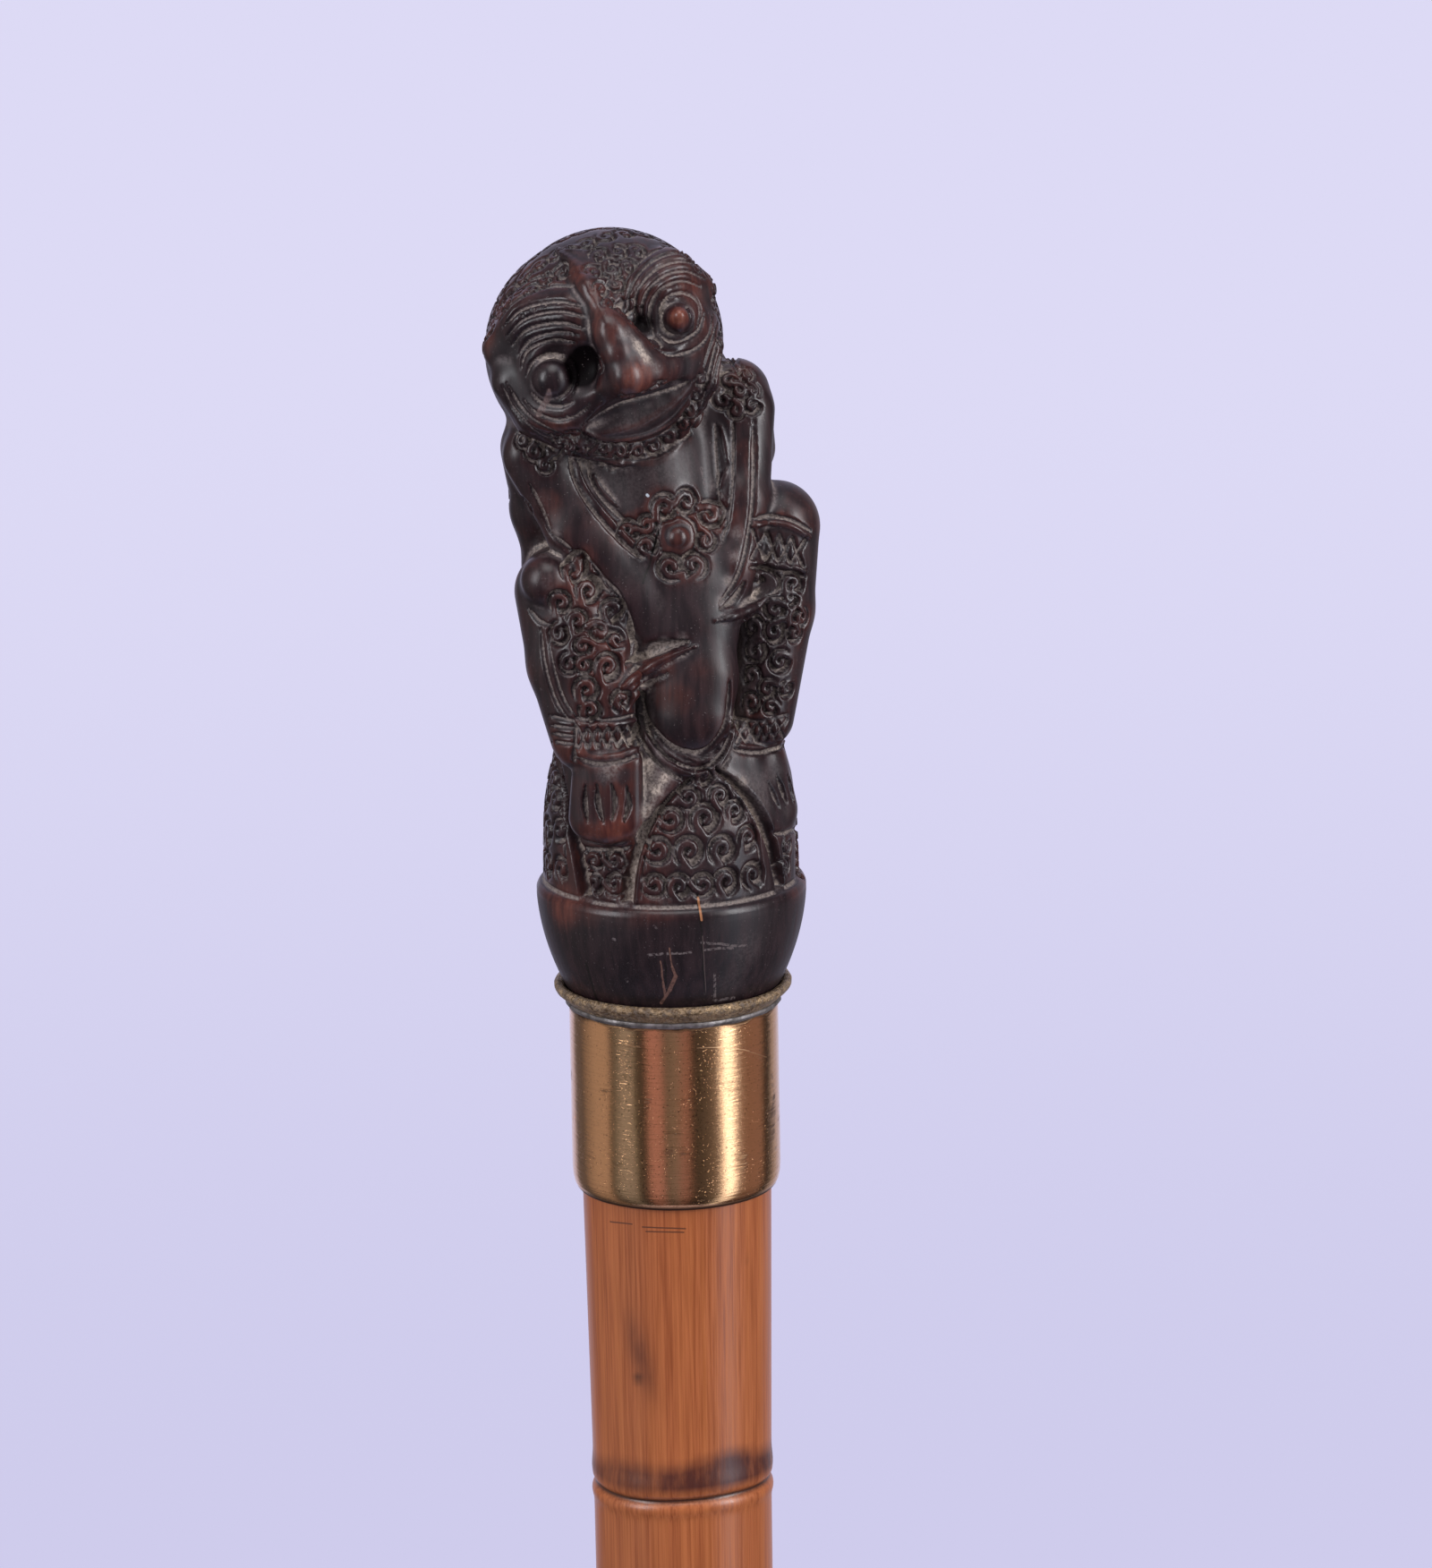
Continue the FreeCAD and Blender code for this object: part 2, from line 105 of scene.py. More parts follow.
def on_round(x, y, radius):
    """The point seen at a pixel on a round part about the axis."""
    depth = -radius
    for _ in range(20):
        depth = -math.sqrt(max(radius**2 - at(x, y, depth)[0] ** 2, 0))
    return at(x, y, depth)


# Sculpting: forms as distances


# A solid known by its box and its distance function
Form = namedtuple("Form", "low high distance")


def cone(a, a_radius, b=None, b_radius=None, squash=None):
    """Two balls and the cone that touches both. squash is a direction and a share of thickness."""
    a = np.asarray(a, float)
    b = a + (0, 0, 1e-3) if b is None else np.asarray(b, float)
    b_radius = a_radius if b_radius is None else b_radius
    length = np.linalg.norm(b - a)
    way = (b - a) / length
    lean = max(-0.98, min(0.98, (a_radius - b_radius) / length))
    tangent = lean / math.sqrt(1 - lean * lean)
    spread = max(a_radius, b_radius) * (max(1.0, squash[1]) if squash else 1.0)
    if squash:
        flat = np.asarray(squash[0], float)
        flat = flat / np.linalg.norm(flat)
        share = squash[1]

    def distance(points):
        off = points - a
        if squash:
            off = off + flat * ((off @ flat) * (1 / share - 1))[:, None]
        along = off @ way
        across = np.sqrt(np.maximum((off * off).sum(1) - along * along, 0))
        place = np.clip((along - across * tangent) / length, 0, 1)
        gap = np.hypot(along - place * length, across)
        gap -= a_radius + (b_radius - a_radius) * place
        return gap * math.sqrt(share) if squash and share < 1 else gap

    return Form(np.minimum(a, b) - spread, np.maximum(a, b) + spread, distance)


def turned(heights, radii, foot, top):
    """A solid turned about the axis, by its radii at given heights."""
    widest = max(radii)

    def distance(points):
        z = points[:, 2]
        radius = np.interp(z, heights, radii)
        slope = (np.interp(z + 0.1, heights, radii) - np.interp(z - 0.1, heights, radii)) / 0.2
        side = (np.hypot(points[:, 0], points[:, 1]) - radius) / np.sqrt(1 + slope * slope)
        ends = np.maximum(z - top, foot - z)
        return blend_high(side, ends, 0.7)

    return Form(np.array([-widest, -widest, foot]), np.array([widest, widest, top]), distance)


def blend_low(a, b, width):
    share = np.clip(0.5 + 0.5 * (b - a) / width, 0, 1)
    return b + (a - b) * share - width * share * (1 - share)


def blend_high(a, b, width):
    return -blend_low(-a, -b, width)


# In millimetres: the distance taken where no form is near, and how far before and behind the handle the
# camera's rays are followed
FAR = 60.0


class Clay:
    """Forms added and cut one after another."""

    def __init__(self):
        self.steps = []

    def add(self, form, blend=1.0):
        self.steps.append((form, blend, True))

    def cut(self, form, blend=0.5):
        self.steps.append((form, blend, False))

    def chunk(self, points):
        low, high = points.min(0), points.max(0)
        field = np.full(len(points), FAR)
        for form, blend, adds in self.steps:
            apart = np.maximum(np.maximum(form.low - high, low - form.high), 0)
            apart = math.sqrt((apart * apart).sum())
            if adds and apart < field.max() + blend:
                field = blend_low(field, form.distance(points), blend)
            elif not adds and apart < blend - field.min():
                field = blend_high(field, -form.distance(points), blend)
        return field

    def field(self, points, size=16000):
        return np.concatenate(
            [self.chunk(points[n : n + size]) for n in range(0, len(points), size)]
        )

    def hits(self, pixels):
        """The points of the surface seen at pixels."""
        way = rays(pixels)
        reach = np.full(len(way), DISTANCE - FAR)
        for _ in range(50):
            reach += 0.85 * np.clip(self.field(EYE + way * reach[:, None]), -4, 30)
            reach = np.minimum(reach, DISTANCE + FAR)
        return EYE + way * reach[:, None]

    def normals(self, points, step=0.15):
        out = np.empty_like(points)
        for axis in range(3):
            shift = np.zeros(3)
            shift[axis] = step
            out[:, axis] = self.field(points + shift) - self.field(points - shift)
        return out / np.maximum(np.linalg.norm(out, axis=1, keepdims=True), 1e-9)


clay = Clay()


def table(text):
    """Rows of numbers from a text like 1,2,3 4,5,6."""
    return np.array([[float(v) for v in item.split(",")] for item in text.split()])


def traced(*texts):
    """Chains of (point, radius) from texts of x,y,lift,radius: a pixel of the clay as it is now, how far
    its point is lifted towards the camera, and a radius."""
    chains = [table(text) for text in texts]
    rows = np.vstack(chains)
    spots = clay.hits(rows[:, :2]) + rows[:, 2:3] * BACK
    found = iter(zip(spots, rows[:, 3]))
    return [[next(found) for _ in rows] for rows in chains]


def chain(parts, blend=1.0, cut=False, squash=None):
    """Cones from each (point, radius) to the next, or one ball."""
    for (a, a_radius), (b, b_radius) in zip(parts, parts[1:] or parts):
        form = cone(a, a_radius, b + (0, 0, 1e-3), b_radius, squash)
        if cut:
            clay.cut(form, blend)
        else:
            clay.add(form, blend)


def dish(point, opening, depth, blend=0.5):
    """Cuts a shallow round hollow that faces the camera."""
    radius = (opening**2 + depth**2) / (2 * depth)
    clay.cut(cone(point + BACK * (radius - depth), radius), blend)


def placed(text):
    """A chain from x,y,depth,radius: a pixel, the point's depth along y, and a radius."""
    return [(at(x, y, depth), radius) for x, y, depth, radius in table(text)]


FRONT = (0, 1, 0)

# The head
chain(placed("667,390,-2.2,14.8 682,380,-2.0,14.9"), 0.1)
left_eye, right_eye, cheek, brow_left, brow_right, mouth, jaw, hollows, left_socket, right_socket = traced(
    "617,422,-1.7,2.7",
    "757,356,-1.0,2.1 759,353,1.1,0.9",
    "572,425,-2.2,2.8 600,462,-2.0,2.6 640,462,-2.0,2.6",
    "562,388,-2.6,2.8 590,356,-2.5,3.3 638,350,-2.6,3.4",
    "712,330,-2.7,3.0 748,306,-2.6,3.2 780,322,-2.7,2.4",
    "659,480,0.3,0.5 671,478,0.8,1.4 684,475,1.6,2.3 700,470,2.1,2.9 716,465,2.3,3.1 "
    "732,457,2.1,2.8 747,447,1.4,2.1 760,437,0.7,1.2 768,431,0.3,0.6",
    "570,440,-1.5,1.4 592,470,-1.3,1.8 640,492,-1.1,1.9 690,504,-1.2,1.9 735,494,-1.1,1.9 "
    "768,464,-1.0,1.8 788,425,-1.2,1.7 797,385,-1.6,1.4",
    "620,418,0.2,0 754,357,0.2,0",
    "659,396,0.6,1.5 652,412,0.1,2.3 646,430,0.7,1.7",
    "708,346,0.8,1.4 718,364,0.2,2.1 730,384,0.6,1.7",
)
chain(brow_left, 1.5)
chain(brow_right, 1.5)
chain(cheek, 1.5)
for hollow, opening, depth in zip(hollows, (4.6, 4.3), (1.8, 1.4)):
    dish(hollow[0], opening, depth, 0.7)
chain(left_socket, 1.6, cut=True)
chain(right_socket, 1.6, cut=True)
chain(jaw, 0.8)
crest, nostrils, slope = traced(
    "640,287,-1.0,1.7 662,326,-0.8,2.0 680,362,0.0,1.9 691,394,0.9,1.9 702,421,1.3,2.3",
    "688,427,-0.4,1.7 703,422,1.4,2.2 722,417,0.1,2.1 741,410,-1.3,1.8",
    "685,372,0.0,1.7 706,392,0.0,1.5 722,402,-0.4,1.6 712,406,0.8,1.9",
)
chain(crest, 0.9)
for point, radius in nostrils[:1] + nostrils[2:] + slope[1:]:
    chain([slope[0], (point, radius)], 1.6)
chain(nostrils, 1.5)
chain(mouth, 0.8, cut=True)
chain(left_eye, 0.25)
chain(right_eye, 0.3)

# Bulb and drum
NECK = -BULB_HEIGHT + 2.9
bulb_heights = np.linspace(NECK, 0, 15)
bulb_radii = 18.15 - 0.0173 * bulb_heights**2 - 0.5 * np.exp(bulb_heights * 2.2)
clay.add(turned([-25, -17.05, -17, *bulb_heights], [12.7, 12.7, 13.1, *bulb_radii], -25, 0), 0.01)
clay.add(turned([-1, 5, 10, 14, 18, 23], [17.2, 17.1, 16.9, 16.3, 15.3, 14.2], -1, 23), 0.15)

# Trunk, cloak, mane, chest and belly
clay.add(cone((-0.3, 1.0, 18), 12.6, (-3.0, 1.8, 58), 9.5), 2.5)
clay.add(cone((-1.5, 4.6, 34), 16.0, (-4.0, 4.4, 62), 15.6, squash=(FRONT, 0.42)), 1.5)
clay.add(cone((-5, 6, 39.6), 8.5, (-7, 5.5, 72), 10.5), 2.0)
chain(placed("603,500,-1.5,5.2 601,570,0.5,3.3 618,640,1.5,3.4 627,720,2.0,3.6"), 2.0)
chain(placed("820,440,-1.5,4.8 836,500,0,3.6"), 1.5)
chain(placed("790,470,0.5,7.0 800,560,-2.5,7.0"), 2.0)
chain(placed("640,500,1.0,7.0 690,590,-2.6,7.0"), 2.0)
chain(placed("718,515,-1.0,9.4 738,600,-3.6,8.6 755,660,-5.4,7.4"), 1.5)

# Arms
left_arm = placed("600,508,-4.6,4.6 652,590,-7.4,4.8 712,664,-9.6,4.6 748,712,-10.6,4.2")
right_arm = placed("834,458,-4.2,3.8 828,560,-7.6,4.0 814,636,-9.8,4.0 796,696,-11.0,3.4")
chain(left_arm, 1.2, squash=(FRONT, 0.72))
chain(right_arm, 1.2, squash=(FRONT, 0.8))

# Thighs, legs and knees
clay.add(cone((-8, 7, 30), 8.2, (-13, -3, 42), 6.0), 1.5)
clay.add(cone((9, 7, 32), 8.2, (14, -2, 45), 5.5), 1.5)
chain(placed("622,660,-4.5,5.6 640,740,-6.5,6.0 658,820,-9.5,5.2"), 1.0)
chain(placed("640,665,-8.6,4.2 660,730,-10.4,5.6 675,800,-12.4,4.3"), 0.9, squash=(FRONT, 0.75))
chain(placed("612,648,-7.8,3.6"), 0.9)
chain(placed("872,590,-5.0,5.2 864,680,-6.4,5.4 852,800,-8.6,4.2"), 0.9)
chain(placed("868,580,-4.6,5.2"), 1.2)

# Loincloth, hands and the medallion's bead
TONGUE = (0.4, 0.9, 0)
chain(
    placed("745,615,-6.6,7.6 757,660,-8.4,7.2 764,705,-9.9,6.7 770,755,-11.8,6.2 771,798,-13.3,5.6"),
    1.4,
    squash=(TONGUE, 0.7),
)
left_hand, right_hand, bead = traced(
    "750,736,-2.1,2.2 734,742,-1.5,2.1 716,753,-1.0,1.9 701,768,-0.7,1.6 689,785,-0.4,1.2",
    "814,688,-1.2,1.3 830,682,-0.7,1.2 846,675,-0.5,0.9 860,667,-0.4,0.6",
    "757,600,-0.9,1.7",
)
chain(left_hand, 1.2)
chain(right_hand, 0.9)
chain(bead, 0.3)

# Feet
LEFT_SOLE, RIGHT_SOLE = (0.67, 0.74, 0), (-0.7, 0.7, 0)
LEFT_FOOT = (
    "664,850,-12.2,3.0 660,914,-11.7,3.1",
    "680,850,-13.0,3.1 678,917,-12.8,3.3",
    "696,852,-13.4,2.8 694,914,-13.5,3.1",
)
RIGHT_FOOT = "838,850,-10.4,2.6 850,910,-10.2,3.0", "858,850,-8.4,3.0 870,906,-7.6,3.2"
for edges, blend, squash in (
    (LEFT_FOOT, 0.6, (LEFT_SOLE, 0.72)),
    (RIGHT_FOOT, 0.7, (RIGHT_SOLE, 0.75)),
):
    for edge in edges:
        chain(placed(edge), blend, squash=squash)
clay.cut(cone((0, 0, -30), 4.1, (0, 0, 2), 4.1), 0.01)


# From the field to a mesh


def field_on_grid(cell):
    """The field's values on a grid, worked out only near the surface."""
    low = np.array([-27.0, -23.0, -26.5])
    high = np.array([22.5, 20.5, 92.0])
    block = 4
    shape = np.ceil((high - low) / (cell * block)).astype(int)
    blocks = np.stack(np.meshgrid(*(np.arange(n) for n in shape), indexing="ij"), -1).reshape(-1, 3)
    middles = low + (blocks + 0.5 - 0.5 / block) * cell * block
    rough = clay.field(middles)
    values = np.repeat(np.repeat(np.repeat(rough.reshape(shape), block, 0), block, 1), block, 2)
    values = values.astype(np.float32)
    near = blocks[np.abs(rough) < cell * block * 1.5]
    inner = np.stack(np.meshgrid(*([np.arange(block)] * 3), indexing="ij"), -1).reshape(-1, 3)
    nodes = (near[:, None, :] * block + inner).reshape(-1, 3)
    values[tuple(nodes.T)] = clay.field(low + nodes * cell)
    return values, low


def surface(values, low, cell):
    """Quads round the field's zero surface: one point in each cell that the surface crosses."""
    inside = values < 0
    count = np.zeros(tuple(n - 1 for n in values.shape), np.int8)
    corners = [(i, j, k) for i in (0, 1) for j in (0, 1) for k in (0, 1)]
    for i, j, k in corners:
        nx, ny, nz = count.shape
        count += inside[i : i + nx, j : j + ny, k : k + nz]
    cells = np.argwhere((count > 0) & (count < 8))
    number = np.full(count.shape, -1, np.int64)
    number[tuple(cells.T)] = np.arange(len(cells))
    place = np.zeros((len(cells), 3))
    crossings = np.zeros(len(cells))
    for one in corners:
        for axis in range(3):
            if one[axis]:
                continue
            other = list(one)
            other[axis] = 1
            first = values[tuple((cells + one).T)]
            second = values[tuple((cells + other).T)]
            cross = (first < 0) != (second < 0)
            share = np.where(cross, first / np.where(cross, first - second, 1), 0)
            point = np.array(one, float) + share[:, None] * (np.array(other) - np.array(one))
            place += point * cross[:, None]
            crossings += cross
    points = low + (cells + place / crossings[:, None]) * cell
    quads = []
    for axis in range(3):
        u, v = (axis + 1) % 3, (axis + 2) % 3
        first = np.take(inside, range(values.shape[axis] - 1), axis)
        second = np.take(inside, range(1, values.shape[axis]), axis)
        edges = np.argwhere(first != second)
        keep = (edges[:, u] > 0) & (edges[:, v] > 0)
        keep &= (edges[:, u] < count.shape[u]) & (edges[:, v] < count.shape[v])
        edges = edges[keep]
        du, dv = np.zeros(3, int), np.zeros(3, int)
        du[u] = 1
        dv[v] = 1
        ring = [number[tuple((edges - shift).T)] for shift in (0 * du, du, du + dv, dv)]
        ring = np.stack(ring, 1)
        outward = first[tuple(edges.T)]
        ring[~outward] = ring[~outward][:, ::-1]
        quads.append(ring)
    return points, np.concatenate(quads)


values, low = field_on_grid(CELL)
points, quads = surface(values, low, CELL)
normals = clay.normals(points)
for _ in range(2):
    points = points - normals * np.clip(clay.field(points), -CELL, CELL)[:, None]
normals = clay.normals(points)

# Relief


def samples(text, spacing=4.0):
    """A smooth line of pixels through the places written in text."""
    ends = table(text)
    if len(ends) == 1:
        return ends
    padded = np.vstack([2 * ends[0] - ends[1], ends, 2 * ends[-1] - ends[-2]])
    line = []
    for n in range(len(ends) - 1):
        p0, p1, p2, p3 = padded[n : n + 4]
        steps = max(2, int(np.linalg.norm(p2 - p1) / spacing))
        t = np.linspace(0, 1, steps, endpoint=n == len(ends) - 2)[:, None]
        line.append(
            0.5
            * (
                2 * p1
                + (p2 - p0) * t
                + (2 * p0 - 5 * p1 + 4 * p2 - p3) * t**2
                + (3 * p1 - p0 - 3 * p2 + p3) * t**3
            )
        )
    return np.vstack(line)


def closeness(spots, line, widths):
    """How far spots are from a line of points, as a share of the width there."""
    best = np.full(len(spots), 9.0)
    ahead = line[1:] if len(line) > 1 else line
    for a, b, width in zip(line, ahead, widths):
        run = b - a
        off = spots - a
        t = np.clip((off @ run) / max(run @ run, 1e-9), 0, 1)
        gap = off - t[:, None] * run
        best = np.minimum(best, np.sqrt((gap * gap).sum(1)) / width)
    return best


class Relief:
    """Heights over the surface's points: ground cut away and the share of it kept, ridges and grooves."""

    def __init__(self, points, normals):
        self.points = points
        self.normals = normals
        self.ground = np.zeros(len(points))
        self.keep = np.zeros(len(points))
        self.ridge = np.zeros(len(points))
        self.groove = np.zeros(len(points))

    def near(self, low, high):
        inside = np.all((self.points > low) & (self.points < high), axis=1)
        return np.nonzero(inside)[0]

    def line(self, line, width, height, kind, taper=0.0):
        """Marks a line of points in one of the layers. width is to where it fades out, and a taper
        narrows both ends, or the first where it is negative."""
        near = self.near(line.min(0) - width, line.max(0) + width)
        if not len(near):
            return
        share = np.linspace(0, 1, len(line))
        widths = np.full(len(line), width)
        if taper:
            ends = np.minimum(share, 1 - share) if taper > 0 else share
            widths = width * np.clip(ends / abs(taper), 0.15, 1) ** 0.7
        self.mark(near, closeness(self.points[near], line, widths), height, kind)

    def mark(self, near, best, height, kind):
        reach = np.clip(1 - best, 0, 1)
        if kind in ("ground", "keep"):
            shape = np.clip(reach * (3 if kind == "ground" else 2.1), 0, 1)
            shape = shape * shape * (3 - 2 * shape)
        else:
            shape = np.sin(reach * math.pi / 2) ** 1.3
        layer = getattr(self, kind)
        layer[near] = np.maximum(layer[near], height * shape)

    def flat(self, centre, normal, up, line, width, height, kind, depth=2.6):
        """Marks a plane line, drawn in the plane that touches the surface at centre."""
        reach = np.abs(line).max() + width
        near = self.near(centre - reach * 1.5, centre + reach * 1.5)
        if not len(near):
            return
        side = np.cross(up, normal)
        off = self.points[near] - centre
        facing = (self.normals[near] @ normal > 0.15) & (np.abs(off @ normal) < depth)
        near, off = near[facing], off[facing]
        if not len(near):
            return
        spots = np.stack([off @ side, off @ up], 1)
        self.mark(near, closeness(spots, line, [width] * len(line)), height, kind)

    def heights(self):
        return self.ridge - self.ground * (1 - self.keep) - self.groove


relief = Relief(points, normals)


def turned_about(points, degrees):
    """Points or directions turned about the stick's axis."""
    angle = math.radians(degrees)
    sine, cosine = math.sin(angle), math.cos(angle)
    return points @ np.array([[cosine, -sine, 0], [sine, cosine, 0], [0, 0, 1]]).T


def draw(strokes, turns=(0,)):
    """Strokes: kind, width, height, taper and a line of pixels. Each is drawn at each turn."""
    lines = [samples(stroke[4]) for stroke in strokes]
    sizes = np.cumsum([len(line) for line in lines])
    spots = np.split(clay.hits(np.vstack(lines)), sizes[:-1])
    for (kind, width, height, taper, _), line in zip(strokes, spots):
        for degrees in turns:
            relief.line(turned_about(line, degrees), width, height, kind, taper)


def strokes(text):
    """Strokes from rows of kind, width, height, taper and lines of pixels with a bar between. A row that
    starts with a blank goes on with the row above it, and one with a colon names what follows."""
    found = []
    for row in text.strip().replace("\n ", " ").splitlines():
        if not row.endswith(":"):
            kind, width, height, taper, lines = row.split(" ", 4)
            found += [(kind, float(width), float(height), float(taper), line) for line in lines.split("|")]
    return found


def spiral(radius, start, sense):
    """A curl's line in its plane: a tail, then most of a turn inwards."""
    share = np.linspace(0, 1, 14)
    angle = math.radians(start) + sense * share * 1.6 * math.pi
    reach = radius * (0.76 - 0.46 * share**0.8)
    curl = np.stack([reach * np.cos(angle), reach * np.sin(angle)], 1)
    way = np.array([math.sin(angle[0]), -math.cos(angle[0])]) * sense
    out = curl[0] + way * radius * 0.8 + curl[0] * 0.15
    return np.vstack([out, curl])


def curl_at(centre, normal, up, radius, start, sense, depth):
    """Cuts a curl: the ground round it goes down, and its line stays."""
    up = up - normal * (up @ normal)
    up = up / np.linalg.norm(up)
    dot = np.zeros((1, 2))
    relief.flat(centre, normal, up, dot, radius * 1.35, depth, "ground")
    relief.flat(centre, normal, up, spiral(radius, start, sense), radius * 0.3 + 0.17, 1, "keep")


def curls(text, depth=1.1, turns=(0,)):
    """Curls written as x,y,radius,start,sense in pixels and degrees, cut at each turn."""
    rows = table(text)
    centres = clay.hits(rows[:, :2])
    facing = clay.normals(centres)
    for degrees in turns:
        spots = zip(rows, turned_about(centres, degrees), turned_about(facing, degrees))
        up = turned_about(UP, degrees)
        for row, centre, normal in spots:
            curl_at(centre, normal, up, row[2] * MM_PER_PIXEL, row[3], row[4], depth)


def spread(wanted, spacing, seed):
    """Points of the surface where wanted, no two nearer than the spacing."""
    chance = np.random.default_rng(seed)
    candidates = chance.permutation(np.nonzero(wanted)[0])[:9000]
    kept = np.zeros((0, 3))
    chosen = []
    for number in candidates:
        spot = points[number]
        if len(kept) == 0 or ((kept - spot) ** 2).sum(1).min() > spacing * spacing:
            kept = np.vstack([kept, spot])
            chosen.append(number)
    return chosen


def curl_field(wanted, radius, seed, depth=0.6):
    """Curls all over a part of the surface, turned this way and that."""
    chance = np.random.default_rng(seed + 100)
    for number in spread(wanted, radius * 1.75, seed):
        start, sense = chance.uniform(160, 300), chance.choice((-1, 1))
        curl_at(points[number], normals[number], np.array([0, 0, 1.0]), radius, start, sense, depth)


# The leaf panel in front, which comes round again at the sides and the back, and the panels between
PANEL_TURNS = (0, -100, 100, 180)
curls("""
731,990,13,215,1 758,991,14,225,-1 786,989,13,215,1 812,985,14,225,-1 842,978,14,250,-1 734,950,15,215,1
770,951,16,225,-1 808,949,15,225,-1 837,936,13,200,-1 749,916,14,215,1 788,914,16,225,-1 822,906,12,200,-1
770,891,13,215,1 805,889,12,225,-1 786,868,10,200,-1
""", turns=PANEL_TURNS)
curls("""
663,962,11,140,-1 686,962,12,215,1 663,988,12,225,-1 686,989,12,215,1 880,945,10,90,1 878,968,10,250,-1
893,972,9,90,1 892,948,8,90,-1
""")
# Curls of the left leg, the right leg, the medallion, the beard and the shoulders
curls("""
641,638,13,200,-1 658,659,14,200,-1 626,673,12,200,-1 683,682,12,215,-1 645,693,12,200,-1 623,708,12,100,1
671,703,13,120,-1 690,714,11,300,-1 651,722,10,60,1 634,742,11,100,1 652,744,10,100,1 680,745,15,205,-1
655,771,14,200,-1 659,794,12,200,-1 697,784,12,250,-1 849,646,12,300,1 886,652,13,200,-1 866,681,12,60,1
896,690,10,60,-1 866,706,13,100,1 889,708,9,60,-1 872,739,12,60,1 840,700,13,300,1 843,728,13,100,1
838,755,11,300,1 858,770,11,60,1 838,785,11,200,-1 884,668,9,60,1 880,770,9,100,1 862,790,9,30,1
""", 1.25)
curls("""
743,566,14,190,-1 768,560,13,150,-1 793,575,14,110,-1 790,604,11,60,-1 776,631,14,300,1 749,634,14,290,-1
722,610,12,250,-1 722,586,11,240,1 702,592,11,240,-1
""")
curls("""
642,486,9,150,-1 658,495,9,150,-1 675,502,10,150,-1 694,506,10,150,-1 713,505,10,150,-1 731,499,10,130,-1
748,490,10,115,-1 762,476,9,100,-1 772,460,9,90,-1 779,443,9,80,-1 784,424,8,70,-1 625,492,9,100,1
648,507,8,60,-1 598,505,11,100,1 618,503,10,60,-1 610,520,9,100,1 584,492,9,100,1 635,500,9,60,-1
808,446,11,150,1 826,436,11,100,-1 841,452,10,60,1 814,424,10,60,1 834,418,9,60,-1 822,458,10,60,-1
812,402,9,60,1 842,436,9,60,-1
""", 0.9)

